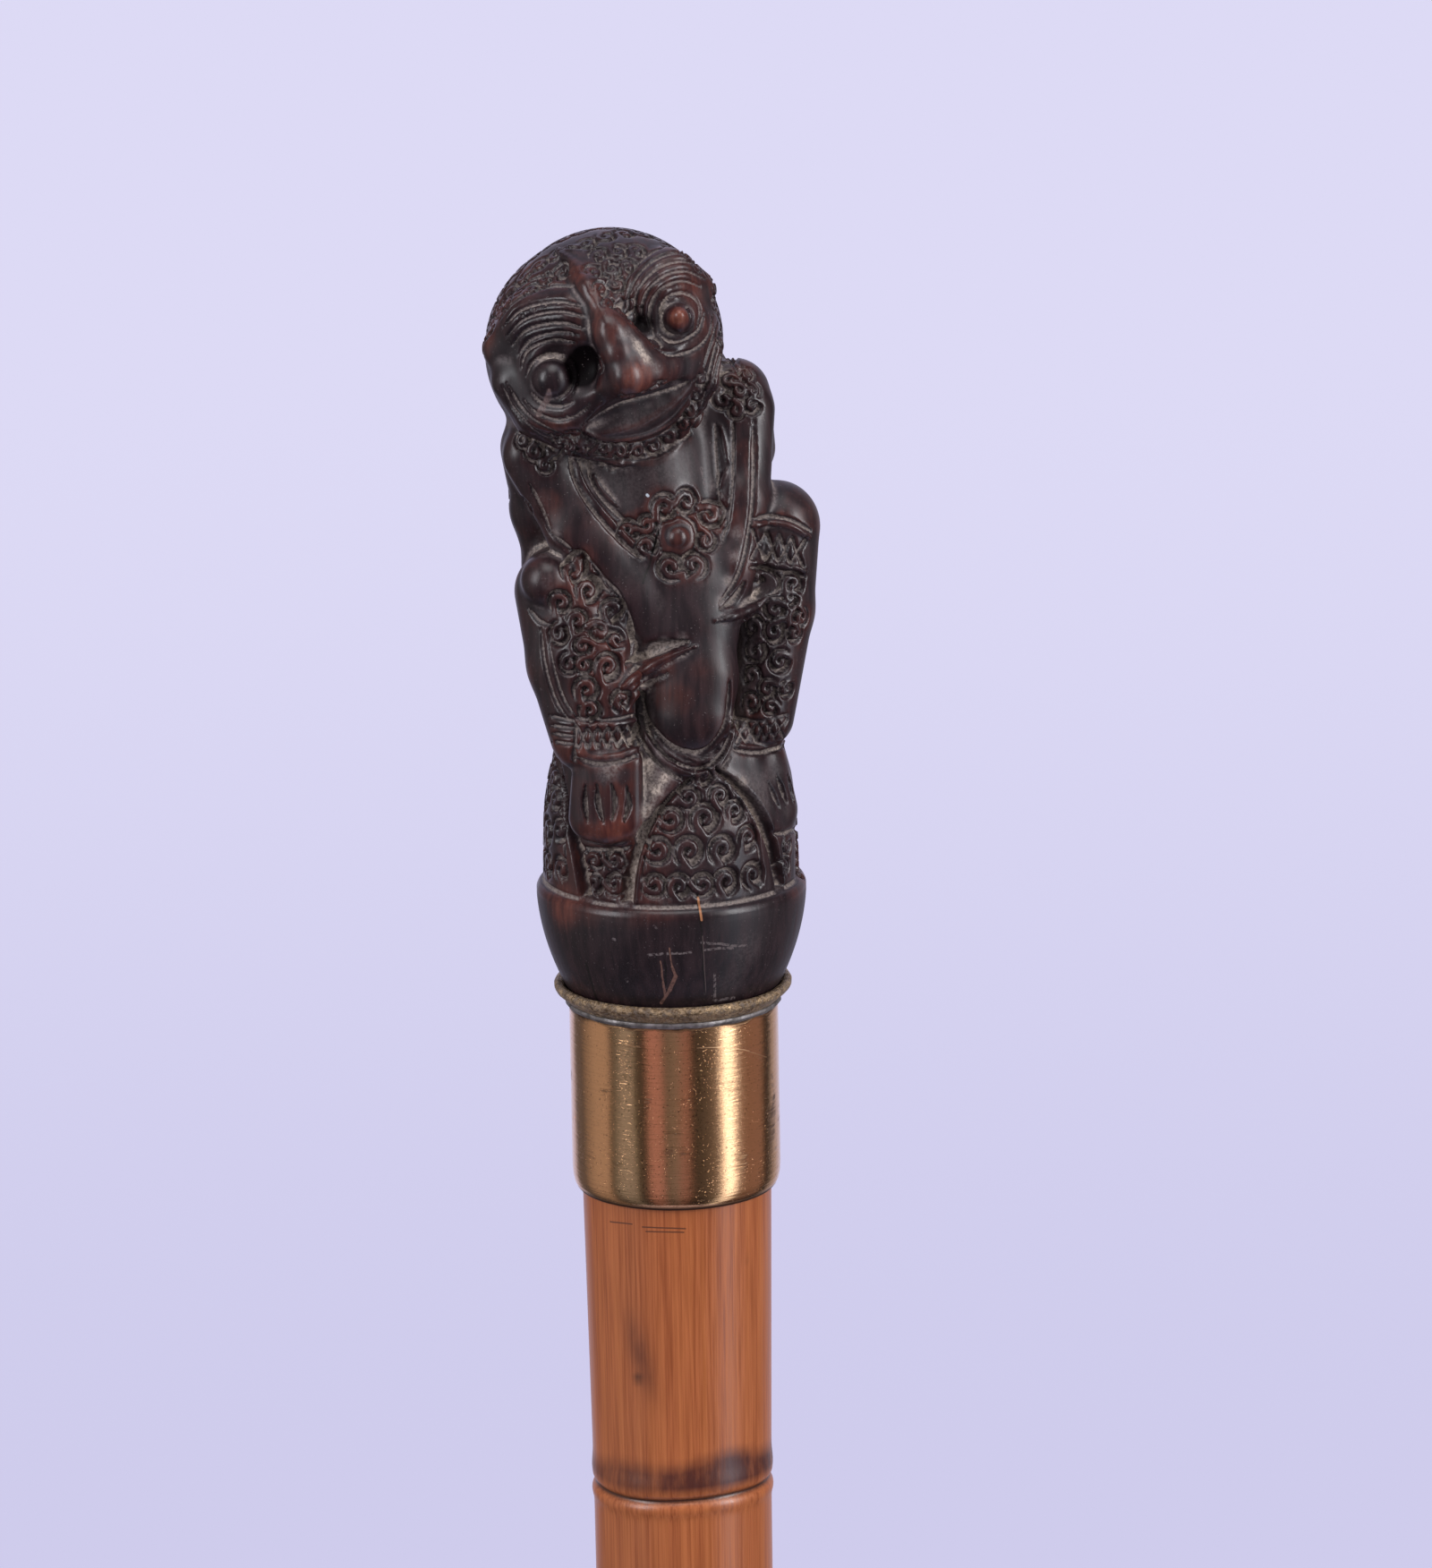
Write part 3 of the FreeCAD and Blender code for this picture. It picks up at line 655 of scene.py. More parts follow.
STROKES = """
Left brow, the folds over the eye and the lids:
groove 0.42 0.55 0.2 582,412 586,394 600,385 620,381 642,383 | 572,386 585,371 605,363 630,361 652,367 |
 562,366 578,348 600,339 626,336 650,342 | 557,358 573,338 594,326 618,319 642,320
groove 0.38 0.45 0.2 578,398 590,382 608,374 628,372 646,374 | 566,376 582,359 604,350 630,348 654,354
groove 0.34 0.35 0.2 552,345 570,326 592,313 614,307 640,308
groove 0.35 0.45 0.2 588,420 592,408 602,400 616,396 630,398
groove 0.35 0.4 0.2 592,438 604,450 622,455 640,450
ridge 0.45 0.4 0.2 634,398 641,408 643,424 638,440 628,448
groove 0.4 0.5 0.3 584,446 600,462 624,470 650,462 660,450
groove 0.35 0.4 0.3 628,463 640,467 656,456
Right brow:
groove 0.38 0.5 0.15 741,364 738,350 743,336 754,328 768,328 779,336 783,350 779,366
groove 0.42 0.55 0.2 731,374 726,354 731,334 745,319 765,314 783,321 | 711,356 711,334 720,313 738,297
 762,291 786,297
groove 0.4 0.5 0.2 720,364 718,342 727,322 744,307 768,303 789,312
groove 0.38 0.5 0.2 703,350 703,328 713,306 731,290 754,282 778,285 | 736,372 748,381 766,379 782,368
 787,350
groove 0.35 0.4 0.2 694,338 698,316 711,296 729,281 750,274
groove 0.38 0.45 0.2 728,386 748,396 774,392 792,376 796,352
Bridge of the nose, up to the hair:
ridge 1.8 0.5 -0.35 624,279 640,299 655,320 667,342 677,362
ridge 2.9 0.4 0 668,344 678,365 687,390 696,416
Mouth:
groove 0.35 0.4 0.2 650,476 672,462 694,451 720,444 750,435 776,424 | 648,486 674,497 702,497 733,489
 760,471 780,441
ridge 0.5 0.4 0.2 650,480 674,490 700,490 730,482 756,464 776,436
Whiskers:
groove 0.35 0.45 0.2 560,430 572,455 590,474
groove 0.32 0.4 0.2 566,428 580,452 600,472 622,484 | 571,442 588,464 610,478 636,488 | 570,452 590,475
 616,488 644,495 | 575,463 596,482 622,494 650,500 | 806,365 798,395 790,425 776,458 | 809,385 802,408
 796,432 780,465 | 802,360 793,388 786,410 | 812,375 822,400 838,420 | 812,392 822,412 832,425
groove 0.5 0.6 0.1 585,485 620,502 660,512 700,516 735,508 765,490 786,462 800,432
Necklace:
ridge 0.6 0.5 0.15 642,512 649,536 662,558 682,582 704,604 718,616
groove 0.4 0.55 0.1 636,508 643,536 656,560 678,588 702,612 718,626
groove 0.35 0.4 0.15 656,510 661,536 674,558 694,578 706,586
ridge 0.45 0.35 0.3 661,528 672,548 690,566
groove 0.32 0.35 0.1 799,470 800,500 802,530 803,556 804,590
groove 0.34 0.4 0.1 818,462 819,500 818,540 814,580 806,606
ridge 0.6 0.35 0.4 806,476 810,496 813,516 | 813,522 808,534 803,546 | 804,550 809,566 808,588
Arms, hands and the belly's crease:
groove 0.5 0.6 0.2 592,542 604,568 614,594
groove 0.55 0.6 0.15 614,596 640,618 664,648 682,664
groove 0.5 0.5 0.15 842,470 842,540 838,590 826,640 804,676
groove 0.45 0.5 0.2 689,442 706,443 726,436 745,425
groove 1.25 1.2 0.45 700,742 714,733 732,725 750,720 768,717
ridge 0.9 0.75 0.45 683,790 695,771 712,755 734,741 758,730 778,722
ridge 0.8 0.6 0.4 798,694 818,689 842,679 868,665
groove 0.7 0.7 0.4 806,680 822,668 832,652
groove 0.7 0.5 0.45 692,796 704,780 722,766 746,753
Loincloth's edge, its hem and knot:
groove 0.55 0.75 0.1 716,756 719,790 728,812 744,830 764,840 784,840 802,826 813,802 816,760
ridge 0.55 0.55 0.1 712,792 720,820 736,844 757,861 778,868 797,860 812,838 821,806
ridge 0.4 0.4 0.1 722,800 732,822 748,842 766,854 784,853 799,842 810,824 816,800
groove 0.34 0.5 0.1 717,796 727,822 743,844 762,858 782,861 800,850 812,830 818,804
groove 0.36 0.5 0.1 708,800 716,826 732,850 754,868 778,875 800,867 816,846
ridge 0.75 0.8 0.4 748,850 762,860 780,864 796,858
ridge 0.6 0.7 0.4 768,846 782,850 797,843 804,832
groove 0.36 0.6 0.3 744,843 758,853 776,858 792,854
groove 0.34 0.6 0.3 793,850 802,840 810,824
groove 0.34 0.5 0.3 762,868 778,871 794,866
Left cuff:
groove 0.4 0.55 0.1 640,801 660,805 690,804 714,798
ridge 0.5 0.35 0.1 641,808 662,812 690,809 714,803
ridge 0.6 0.45 0.1 643,838 662,846 690,845 714,836
groove 0.45 0.6 0.1 641,846 662,853 690,852 716,842
groove 0.4 0.5 0.1 613,800 640,806 | 614,811 640,814 | 615,820 640,823 | 616,829 640,832
groove 0.5 0.6 0.1 643,806 642,826 641,850
Left leg's outer edge:
groove 0.35 0.4 0.2 604,702 609,745 621,784 636,806 | 611,704 617,742 629,780 642,800
groove 0.4 0.5 0.2 590,680 602,694 616,700
groove 0.6 0.7 0.2 626,630 640,620 656,626 676,650 690,664 702,690 706,720 704,740
Right cuff:
groove 0.4 0.5 0.1 820,801 848,806 880,799
groove 0.45 0.5 0.1 820,838 848,841 876,834
ridge 0.5 0.35 0.1 821,832 848,835 876,828
Right knee's band:
ridge 0.5 0.5 0.1 840,588 860,584 884,588 904,600 | 838,628 858,629 880,633 900,638
groove 0.4 0.5 0.1 838,634 858,636 880,640 900,645
groove 0.4 0.45 0.1 840,581 860,577 884,581 906,593
Feet:
groove 0.62 0.85 0.5 654,878 653,898 656,918 | 683,876 687,896 684,917 | 700,879 703,898 697,918
groove 0.66 0.85 0.5 667,877 668,898 673,918
groove 0.6 0.7 0.5 858,872 864,886 871,902 | 868,868 874,882 879,896 | 880,866 884,880 887,894
groove 0.5 0.7 0.1 640,946 668,950 702,948 716,930
groove 0.45 0.5 0.1 852,926 872,932 896,924
Medallion, and the dots between the brow's folds:
groove 0.5 0.6 0.2 735,598 740,582 757,575 774,582 780,600 774,617 757,624 740,617 735,602
groove 0.36 0.5 0 596,345 | 609,340 | 623,338 | 637,339 | 583,352 | 707,335 | 713,320 | 724,307 | 738,298
 | 752,292
"""
PANEL_EDGES = """
groove 1.25 2.0 -0.8 772,870 751,888 732,910 715,940 704,972 699,1008
groove 1.3 2.2 -0.5 800,858 827,880 848,908 862,940 870,975 873,996
groove 0.35 0.4 0.2 782,862 762,880 744,904 728,934 719,966 716,1004 | 792,857 814,876 832,900 844,928
 850,958 853,988
"""
draw(strokes(STROKES))
draw(strokes(PANEL_EDGES), PANEL_TURNS)
# No groove goes into the ledge, and one groove runs round the figure where it stands there
SEAM_RADIUS, SEAM_HEIGHT = 17.15, 0.3
relief.groove[points[:, 2] < SEAM_HEIGHT + 0.1] = 0
angle = np.linspace(0, 2 * math.pi, 181)
seam = np.stack([SEAM_RADIUS * np.cos(angle), SEAM_RADIUS * np.sin(angle), SEAM_HEIGHT + 0 * angle], 1)
relief.line(seam, 0.4, 0.26, "groove")


def lattice(corners, lines, depth=0.5):
    """Crossed grooves between the four corners of a band: left edge, then right."""
    a, b, c, d = (np.array(corner, float) for corner in corners)
    crossed = []
    for n in range(lines):
        for one, two in (((n, 0), (n + 1, 1)), ((n + 1, 0), (n, 1))):
            ends = []
            for along, down in (one, two):
                top, foot = a + (c - a) * along / lines, b + (d - b) * along / lines
                ends.append(top + (foot - top) * down)
            crossed.append(("groove", 0.34, depth, 0, " ".join(f"{x},{y}" for x, y in ends)))
    draw(crossed)


lattice(((645, 813), (645, 837), (714, 810), (714, 833)), 6)
lattice(((822, 809), (824, 831), (880, 804), (876, 825)), 5)
lattice(((842, 592), (840, 625), (900, 604), (898, 634)), 4, 0.6)

curls("""
655,272,11,200,-1 676,264,11,160,1 697,260,11,200,-1 718,261,11,160,1 739,267,11,200,-1 759,276,10,160,1
669,284,10,200,-1 690,280,11,160,1 711,279,10,200,-1 664,303,10,200,-1 683,300,11,160,1 701,296,9,200,-1
672,322,9,200,-1 689,317,9,160,1 681,339,8,200,-1 622,284,11,160,1 602,295,11,200,-1 584,309,11,160,1
569,326,10,200,-1 557,346,9,160,1 549,366,8,200,-1 628,303,10,200,-1 609,311,9,160,1 592,323,9,200,-1
""", 0.8)
x, y, z = points.T
away = normals @ BACK < 0.22
top_of_head = away & (normals[:, 2] > -0.1) & (z > 73) & (points @ LEVEL > -40)
curl_field(top_of_head, 1.1, 1)
back_of_head = (normals[:, 1] > 0.15) & (z > 52) & (z <= 73) & (np.abs(x + 7) < 14)
curl_field(back_of_head, 1.3, 2)


def band(low, high, wanted, width=0.5, height=0.5):
    """Two grooves and crossed ridges between them, round a part of the body where wanted."""
    inside = wanted & (z > low) & (z < high)
    angle = np.arctan2(y - 2, x)
    wave = (angle * 16 / math.pi) % 1.0
    rise = (z - low) / (high - low)
    one = np.abs((wave + rise) % 1.0 - 0.5)
    other = np.abs((wave - rise) % 1.0 - 0.5)
    crossing = np.clip(1 - np.minimum(0.5 - one, 0.5 - other) / 0.17, 0, 1)
    edge = np.clip(np.minimum(z - low, high - z) / 0.5, 0, 1)
    relief.ground[inside] = np.maximum(relief.ground[inside], height * edge[inside])
    relief.keep[inside] = np.maximum(relief.keep[inside], crossing[inside])
    for level in (low - width, high + width):
        gap = np.abs(z - level) / width
        close = wanted & (gap < 1)
        shape = np.sin(np.clip(1 - gap, 0, 1) * math.pi / 2)
        relief.groove[close] = np.maximum(relief.groove[close], 0.5 * shape[close])


behind = (normals[:, 1] > 0.2) & (y > 0)
band(44.5, 48.0, behind)
band(22.6, 25.4, behind)
# Locks that hang down the back between the bands
locks = behind & (z > 49.5) & (z < 52.5)
relief.groove[locks] = np.maximum(relief.groove[locks], 0.4 * np.abs(np.sin(x[locks] * 2.2)))
back_panels = behind & (z > 27) & (z < 43) & (np.abs(np.abs(x) - 8) < 5.5)
curl_field(back_panels, 1.7, 3, 0.8)

heights = relief.heights()
points = points + normals * heights[:, None]


# The piece


def neighbour_mean(values, quads, rounds):
    """Values averaged with their neighbours, again and again."""
    ends = np.concatenate([quads[:, (0, 1)], quads[:, (1, 2)], quads[:, (2, 3)], quads[:, (3, 0)]])
    count = np.bincount(ends[:, 0], minlength=len(values))
    count = count + np.bincount(ends[:, 1], minlength=len(values))
    for _ in range(rounds):
        total = np.zeros_like(values)
        for axis in range(values.shape[1]):
            column = values[:, axis]
            total[:, axis] = np.bincount(ends[:, 0], column[ends[:, 1]], len(values))
            total[:, axis] += np.bincount(ends[:, 1], column[ends[:, 0]], len(values))
        values = total / count[:, None]
    return values


def mesh_piece(name, points, faces, attributes):
    """A piece of the scene from points in millimetres above the ledge."""
    mesh = bpy.data.meshes.new(name)
    mesh.vertices.add(len(points))
    mesh.vertices.foreach_set("co", (points * MM + (0, 0, LEDGE)).astype(np.float32).ravel())
    mesh.loops.add(faces.size)
    mesh.loops.foreach_set("vertex_index", faces.astype(np.int32).ravel())
    mesh.polygons.add(len(faces))
    mesh.polygons.foreach_set("loop_start", np.arange(0, faces.size, faces.shape[1], dtype=np.int32))
    mesh.update(calc_edges=True)
    mesh.validate()
    mesh.shade_smooth()
    for key, values in attributes.items():
        layer = mesh.attributes.new(key, "FLOAT", "POINT")
        layer.data.foreach_set("value", values.astype(np.float32))
    made = bpy.data.objects.new(name, mesh)
    bpy.context.scene.collection.objects.link(made)
    return made


def painted(text):
    """Amounts round spots written as x,y,radius,amount in pixels."""
    rows = table(text)
    total = np.zeros(len(points))
    for (_, _, radius, amount), centre in zip(rows, clay.hits(rows[:, :2])):
        gap = np.linalg.norm(points - centre, axis=1) / (radius * MM_PER_PIXEL)
        total += amount * np.clip(1.5 - gap, 0, 1)
    return total


# Where the wood is redder, or darker where below zero. The strongly negative spots in the eye sockets,
# at 652,410 and 722,372, are painted shade
warmth_and_shade = painted("""
757,355,14,1.3 645,304,14,0.9 660,328,11,0.6 670,348,10,0.3 684,380,12,0.3 715,422,20,0.9 750,300,30,0.5
775,330,18,0.4 617,422,22,-1.6 652,410,16,-2 722,372,12,-1 600,372,40,-0.9 575,440,40,-0.9 640,450,25,-0.6
735,690,45,-0.7 690,540,45,-0.5 745,780,26,0.35 765,820,18,0.2 850,1050,60,-1 770,1090,60,-0.7
630,1010,34,0.45 700,1010,40,0.45 760,1020,26,0.35 650,1070,30,-0.4 648,700,22,0.4 690,925,18,0.6
660,930,18,0.5 609,652,14,0.2 612,560,22,0.6 640,600,22,0.3 836,500,18,0.5 865,620,40,-0.6 860,720,45,-0.6
855,880,40,-1 780,940,50,-0.3 840,420,20,0.4 745,740,12,0.6 660,290,60,-0.5
""")
# Where dust lies thickest, and where there is none. Below zero it also lays painted shade: near black in
# the eye sockets at 650,412, 658,394 and 718,362, and darker on the loincloth's tongue at 755,786. The
# pale spot at 682,860 on the left foot is a painted sheen
dust_and_painted_light = painted("""
702,372,8,0.6 712,386,9,0.9 722,400,9,0.9 735,412,9,0.6 705,420,16,0.3 682,860,14,0.4 640,680,14,0.2
650,412,20,-1.6 658,394,12,-1.2 718,362,14,-1 690,480,14,0.35 715,472,16,0.35 742,458,14,0.35
704,739,9,0.6 722,729,9,0.9 742,720,8,0.9 762,713,7,0.6 822,622,8,0.6 814,650,8,0.7 806,672,7,0.7
824,596,9,0.6 620,596,8,0.6 608,620,8,0.5 722,856,11,0.6 732,878,13,0.8 722,906,13,0.8 716,930,10,0.7
748,868,9,0.5 816,800,8,0.6 806,860,11,0.7 826,872,12,0.6 818,842,9,0.6 846,884,22,0.5 864,860,16,0.4
855,912,16,0.3 880,905,12,0.3 660,850,9,0.4 690,850,9,0.4 700,540,34,0.34 760,520,30,0.38 655,1003,7,0.3
690,1005,7,0.3 740,1008,7,0.3 790,1006,7,0.3 830,1000,7,0.3 868,990,7,0.3 835,1060,26,0.34 815,1100,20,0.3
612,690,14,0.2 780,640,30,0.25 605,560,14,0.3 700,650,30,0.2 860,650,20,0.3 880,590,20,0.2 733,850,13,0.4
746,862,9,0.25 675,866,14,0.3 735,890,10,0.2 612,650,12,0.35 785,945,60,0.2 640,600,20,0.12
755,786,24,-0.5 640,745,26,0.12 692,376,7,0.5 740,838,9,0.4
""")
# Dust along the seam on the ledge
dust_and_painted_light += 0.6 * np.exp(-(((z - 0.35) / 0.4) ** 2)) * (0.7 + 0.5 * np.sin(x * 2.1) * np.sin(x * 0.7 + y))
# Where dust settles: hollows about as wide as FINE, and places with little open space BROAD above them
FINE, BROAD = 1.0, 2.5
fine = ((neighbour_mean(points, quads, round((FINE / CELL) ** 2)) - points) * normals).sum(1)
broad = 1 - clay.field(points + BROAD * normals) / BROAD
handle = mesh_piece(
    "carved_figure",
    points,
    quads,
    {
        "fine": np.clip(fine / 0.17, -1, 1),
        "broad": np.clip(broad, 0, 1),
        "warmth_and_shade": np.clip(warmth_and_shade, -1, 2),
        "dust_and_painted_light": np.clip(dust_and_painted_light, -1, 1),
    },
)
print("handle points", len(points))


# Materials


class Nodes:
    """Short ways to add nodes to a material or the world. A blank in a socket's name is written _."""

    def __init__(self, made):
        self.tree = made.node_tree

    def new(self, kind, **sockets):
        node = self.tree.nodes.new("ShaderNode" + kind)
        for key, value in sockets.items():
            self.set(node.inputs[key.replace("_", " ")], value)
        return node

    def finish(self, **sockets):
        """Sets sockets of the material's shader."""
        for key, value in sockets.items():
            self.set(self.shader.inputs[key.replace("_", " ")], value)

    def set(self, socket, value):
        if isinstance(value, bpy.types.NodeSocket):
            self.tree.links.new(value, socket)
        else:
            socket.default_value = value

    def place(self, scale=(1, 1, 1)):
        coords = self.new("TexCoord")
        mapping = self.new("Mapping", Vector=coords.outputs["Object"], Scale=scale)
        return mapping.outputs[0]

    def noise(self, scale, detail=4.0, roughness=0.55, stretch=(1, 1, 1), distortion=0.0):
        return self.new(
            "TexNoise",
            Vector=self.place(stretch),
            Scale=scale,
            Detail=detail,
            Roughness=roughness,
            Distortion=distortion,
        ).outputs["Fac"]

    def ramp(self, value, low, high, out_low=0.0, out_high=1.0):
        """value goes from low to high, and what comes out from out_low to out_high."""
        node = self.new("MapRange", Value=value, From_Min=low, From_Max=high, To_Min=out_low, To_Max=out_high)
        node.interpolation_type = "SMOOTHSTEP"
        return node.outputs[0]

    def math(self, operation, a, b=0.0):
        node = self.new("Math")
        node.operation = operation
        self.set(node.inputs[0], a)
        self.set(node.inputs[1], b)
        return node.outputs[0]

    def times(self, a, b):
        return self.math("MULTIPLY", a, b)

    def plus(self, a, b):
        return self.math("ADD", a, b)

    def minus(self, a, b):
        return self.math("SUBTRACT", a, b)

    def most(self, a, b):
        return self.math("MAXIMUM", a, b)

    def mix(self, share, a, b):
        node = self.new("Mix")
        node.data_type = "RGBA"
        self.set(node.inputs["Factor"], share)
        self.set(node.inputs[6], a)
        self.set(node.inputs[7], b)
        return node.outputs[2]

    def attribute(self, name):
        node = self.new("Attribute")
        node.attribute_name = name
        return node.outputs["Fac"]

    def vector(self, operation, a, b):
        node = self.new("VectorMath")
        node.operation = operation
        self.set(node.inputs[0], a)
        self.set(node.inputs["Scale" if operation == "SCALE" else 1], b)
        return node.outputs["Value" if operation in ("DOT_PRODUCT", "LENGTH") else "Vector"]

    def near_line(self, pixels, width, wiggle=0.0, radius=None):
        """1 on a line from one pixel to another, given as x,y,x,y, and 0 off it: over the handle, or over a
        round part of that radius. width and wiggle are in millimetres, and the line lies on the surface as
        it is seen from the front."""
        if radius is None:
            ends = clay.hits(pixels)
        else:
            ends = np.array([on_round(*pixel, radius) for pixel in np.reshape(pixels, (2, 2))])
        a, b = ends * MM + (0, 0, LEDGE)
        run = (b - a) - BACK * ((b - a) @ BACK)
        place = self.new("TexCoord").outputs["Object"]
        if wiggle:
            shake = self.new("TexNoise", Vector=place, Scale=420.0, Detail=2.0).outputs["Color"]
            shake = self.vector("SUBTRACT", shake, (0.5, 0.5, 0.5))
            place = self.vector("ADD", place, self.vector("SCALE", shake, wiggle * MM))
        off = self.vector("SUBTRACT", place, tuple(a))
        share = self.vector("DOT_PRODUCT", off, tuple(run / (run @ run)))
        share = self.new("Clamp", Value=share).outputs[0]
        depth = self.vector("DOT_PRODUCT", off, tuple(BACK))
        off = self.vector("SUBTRACT", off, self.stretched(run, share))
        off = self.vector("SUBTRACT", off, self.stretched(BACK, depth))
        gap = self.vector("LENGTH", off, (0, 0, 0))
        near = self.ramp(self.math("ABSOLUTE", depth), 0.004, 0.005, 1.0, 0.0)
        return self.times(near, self.ramp(gap, width * MM * 0.5, width * MM, 1.0, 0.0))

    def stretched(self, way, share):
        """A fixed vector times a share."""
        return self.vector("SCALE", tuple(way), share)

    def bump(self, height, strength, distance):
        return self.new("Bump", Height=height, Strength=strength, Distance=distance).outputs[0]


def material(name):
    """A new material, and the nodes with its shader."""
    made = bpy.data.materials.new(name)
    made.use_nodes = True
    made.node_tree.nodes.clear()
    n = Nodes(made)
    n.shader = n.new("BsdfPrincipled")
    n.new("OutputMaterial", Surface=n.shader.outputs[0])
    return made, n


def colour(red, green, blue):
    """A colour as it is seen, from 0 to 255, as Blender wants it."""
    shares = (((v / 255 + 0.055) / 1.055) ** 2.4 if v > 10 else v / 3295 for v in (red, green, blue))
    return (*shares, 1.0)


# Marks on the wood, from pixel to pixel: pale scuffs, a splinter lost from the bulb and cracks. The last two
# have a width in millimetres as well
SCUFFS = """
725,1067,741,1066 746,1066,772,1064 784,1053,797,1055 800,1055,834,1057 788,1062,818,1059 799,1088,799,1117
798,1118,820,1114 731,1035,733,1037 783,523,790,548 685,1049,687,1050 700,1095,701,1097
"""
SPLINTERS = """
748,1060,751,1080,0.14 751,1080,755,1091,0.24 755,1091,748,1106,0.34
748,1106,739,1121,0.26 738,1074,741,1098,0.15 741,1098,743,1112,0.22
"""
CRACKS = """
779,999,784,1040,0.2 784,1040,788,1122,0.16 655,1077,667,1118,0.2
735,594,728,622,0.2 728,622,719,652,0.2 743,1074,744,1100,0.2
"""


def handle_wood():
    made, n = material("dark_carved_wood")
    fine, broad, warmth_and_shade, dust_and_painted_light = (n.attribute(key) for key in ("fine", "broad", "warmth_and_shade", "dust_and_painted_light"))
    patches = n.noise(90, 3)
    grain = n.noise(900, 4, 0.6, (1, 1, 0.12))
    speck = n.noise(2600, 2)
    dark = n.mix(n.ramp(grain, 0.35, 0.7), colour(21, 13, 17), colour(36, 22, 26))
    warm = n.mix(n.ramp(grain, 0.3, 0.75), colour(60, 27, 25), colour(98, 50, 38))
    worn = n.times(n.ramp(fine, 0.0, -0.6), n.ramp(patches, 0.42, 0.68, 0.06, 0.5))
    redder = n.ramp(n.plus(warmth_and_shade, n.ramp(patches, 0.3, 0.7, -0.35, 0.25)), 0.0, 1.0)
    # Where the painted amount is below zero the red is taken out; in the eye sockets that is painted shade
    worn = n.times(n.most(worn, redder), n.ramp(warmth_and_shade, -0.8, 0.0))
    body = n.mix(worn, dark, warm)
    reddest = n.mix(n.ramp(grain, 0.35, 0.7), colour(124, 74, 58), colour(158, 106, 86))
    body = n.mix(n.ramp(warmth_and_shade, 0.9, 2.0, 0, 0.85), body, reddest)
    settles = n.ramp(dust_and_painted_light, -0.9, -0.2)
    # Painted shade: near black where the painted amount is below zero, fully in the eye sockets and partly on
    # the loincloth's tongue
    body = n.mix(n.ramp(dust_and_painted_light, -1.0, -0.3, 0.9, 0.0), body, colour(5, 3, 4))
    dust_share = n.times(n.ramp(fine, 0.06, 0.75, 0, 0.92), n.ramp(speck, 0.34, 0.62, 0.35, 1.0))
    dust_broad = n.times(n.ramp(broad, 0.35, 1.0, 0, 0.6), n.ramp(speck, 0.35, 0.6, 0.45, 1.0))
    # Pale colour laid where the painted amount is above zero: dust, and on the top of the left foot a painted
    # sheen
    laid_dust_and_sheen = n.times(n.ramp(dust_and_painted_light, 0.05, 1.0, 0, 0.95), n.ramp(speck, 0.38, 0.6, 0.4, 1.0))
    grit = n.ramp(n.noise(3600, 1), 0.7, 0.77, 0, 0.6)
    dust_and_sheen = n.times(n.most(dust_share, dust_broad), settles)
    dust_and_sheen = n.most(n.most(dust_and_sheen, laid_dust_and_sheen), grit)
    for line in table(SCUFFS):
        dust_and_sheen = n.most(dust_and_sheen, n.times(n.near_line(line, 0.22, 0.5), n.ramp(speck, 0.35, 0.6)))
    pale = n.most(n.ramp(fine, 0.45, 1.1), n.ramp(dust_and_painted_light, 0.45, 1.0))
    laid = n.most(n.ramp(broad, 0.35, 0.8), n.ramp(dust_and_painted_light, 0.7, 1.0, 0, 0.7))
    thick = n.mix(laid, colour(124, 113, 108), colour(172, 158, 148))
    body = n.mix(dust_and_sheen, body, n.mix(pale, colour(88, 79, 80), thick))
    for *line, width in table(SPLINTERS):
        body = n.mix(n.near_line(line, width * 1.5, 0.3), body, colour(26, 14, 14))
    for *line, width in table(SPLINTERS):
        share = n.times(n.near_line(line, width, 0.3), n.ramp(speck, 0.3, 0.6, 0.45, 1.0))
        body = n.mix(share, body, colour(96, 68, 60))
    for *line, width in table(CRACKS):
        body = n.mix(n.near_line(line, width, 0.5), body, colour(14, 8, 8))
    # A pale speck on the chest, a chip under the left eye, and the worn edges of the bulb's long crack
    body = n.mix(n.near_line((723, 553, 724, 554), 0.24), body, colour(160, 168, 178))
    chip = n.times(n.near_line((614, 439, 604, 462), 0.6, 1.2), n.ramp(speck, 0.3, 0.62, 0.3, 1.0))
    body = n.mix(chip, body, colour(98, 80, 78))
    body = n.mix(n.near_line((780, 1003, 784, 1028), 0.2, 0.15), body, colour(140, 94, 64))
    body = n.mix(n.near_line((785, 1046, 789, 1112), 0.08, 0.1), body, colour(70, 58, 58))
    smooth = n.minus(n.ramp(grain, 0.3, 0.8, 0.43, 0.55), n.ramp(fine, 0.0, -0.7, 0.0, 0.14))
    rough = n.most(smooth, n.times(dust_and_sheen, 0.85))
    # The sockets are matt, with hardly any shine
    rough = n.most(rough, n.ramp(dust_and_painted_light, -0.9, -0.2, 0.5, 0.0))
    n.finish(Specular_IOR_Level=0.35)
    n.finish(Base_Color=body, Roughness=rough, Specular_IOR_Level=n.ramp(dust_and_painted_light, -0.9, -0.2, 0.05, 0.35))
    n.finish(Normal=n.bump(grain, 0.25, 0.0001))
    return made


# Radii at which the sleeve's scratch and the cane's scores lie
SLEEVE_RADIUS, CANE_RADIUS = 14.05, 12.8


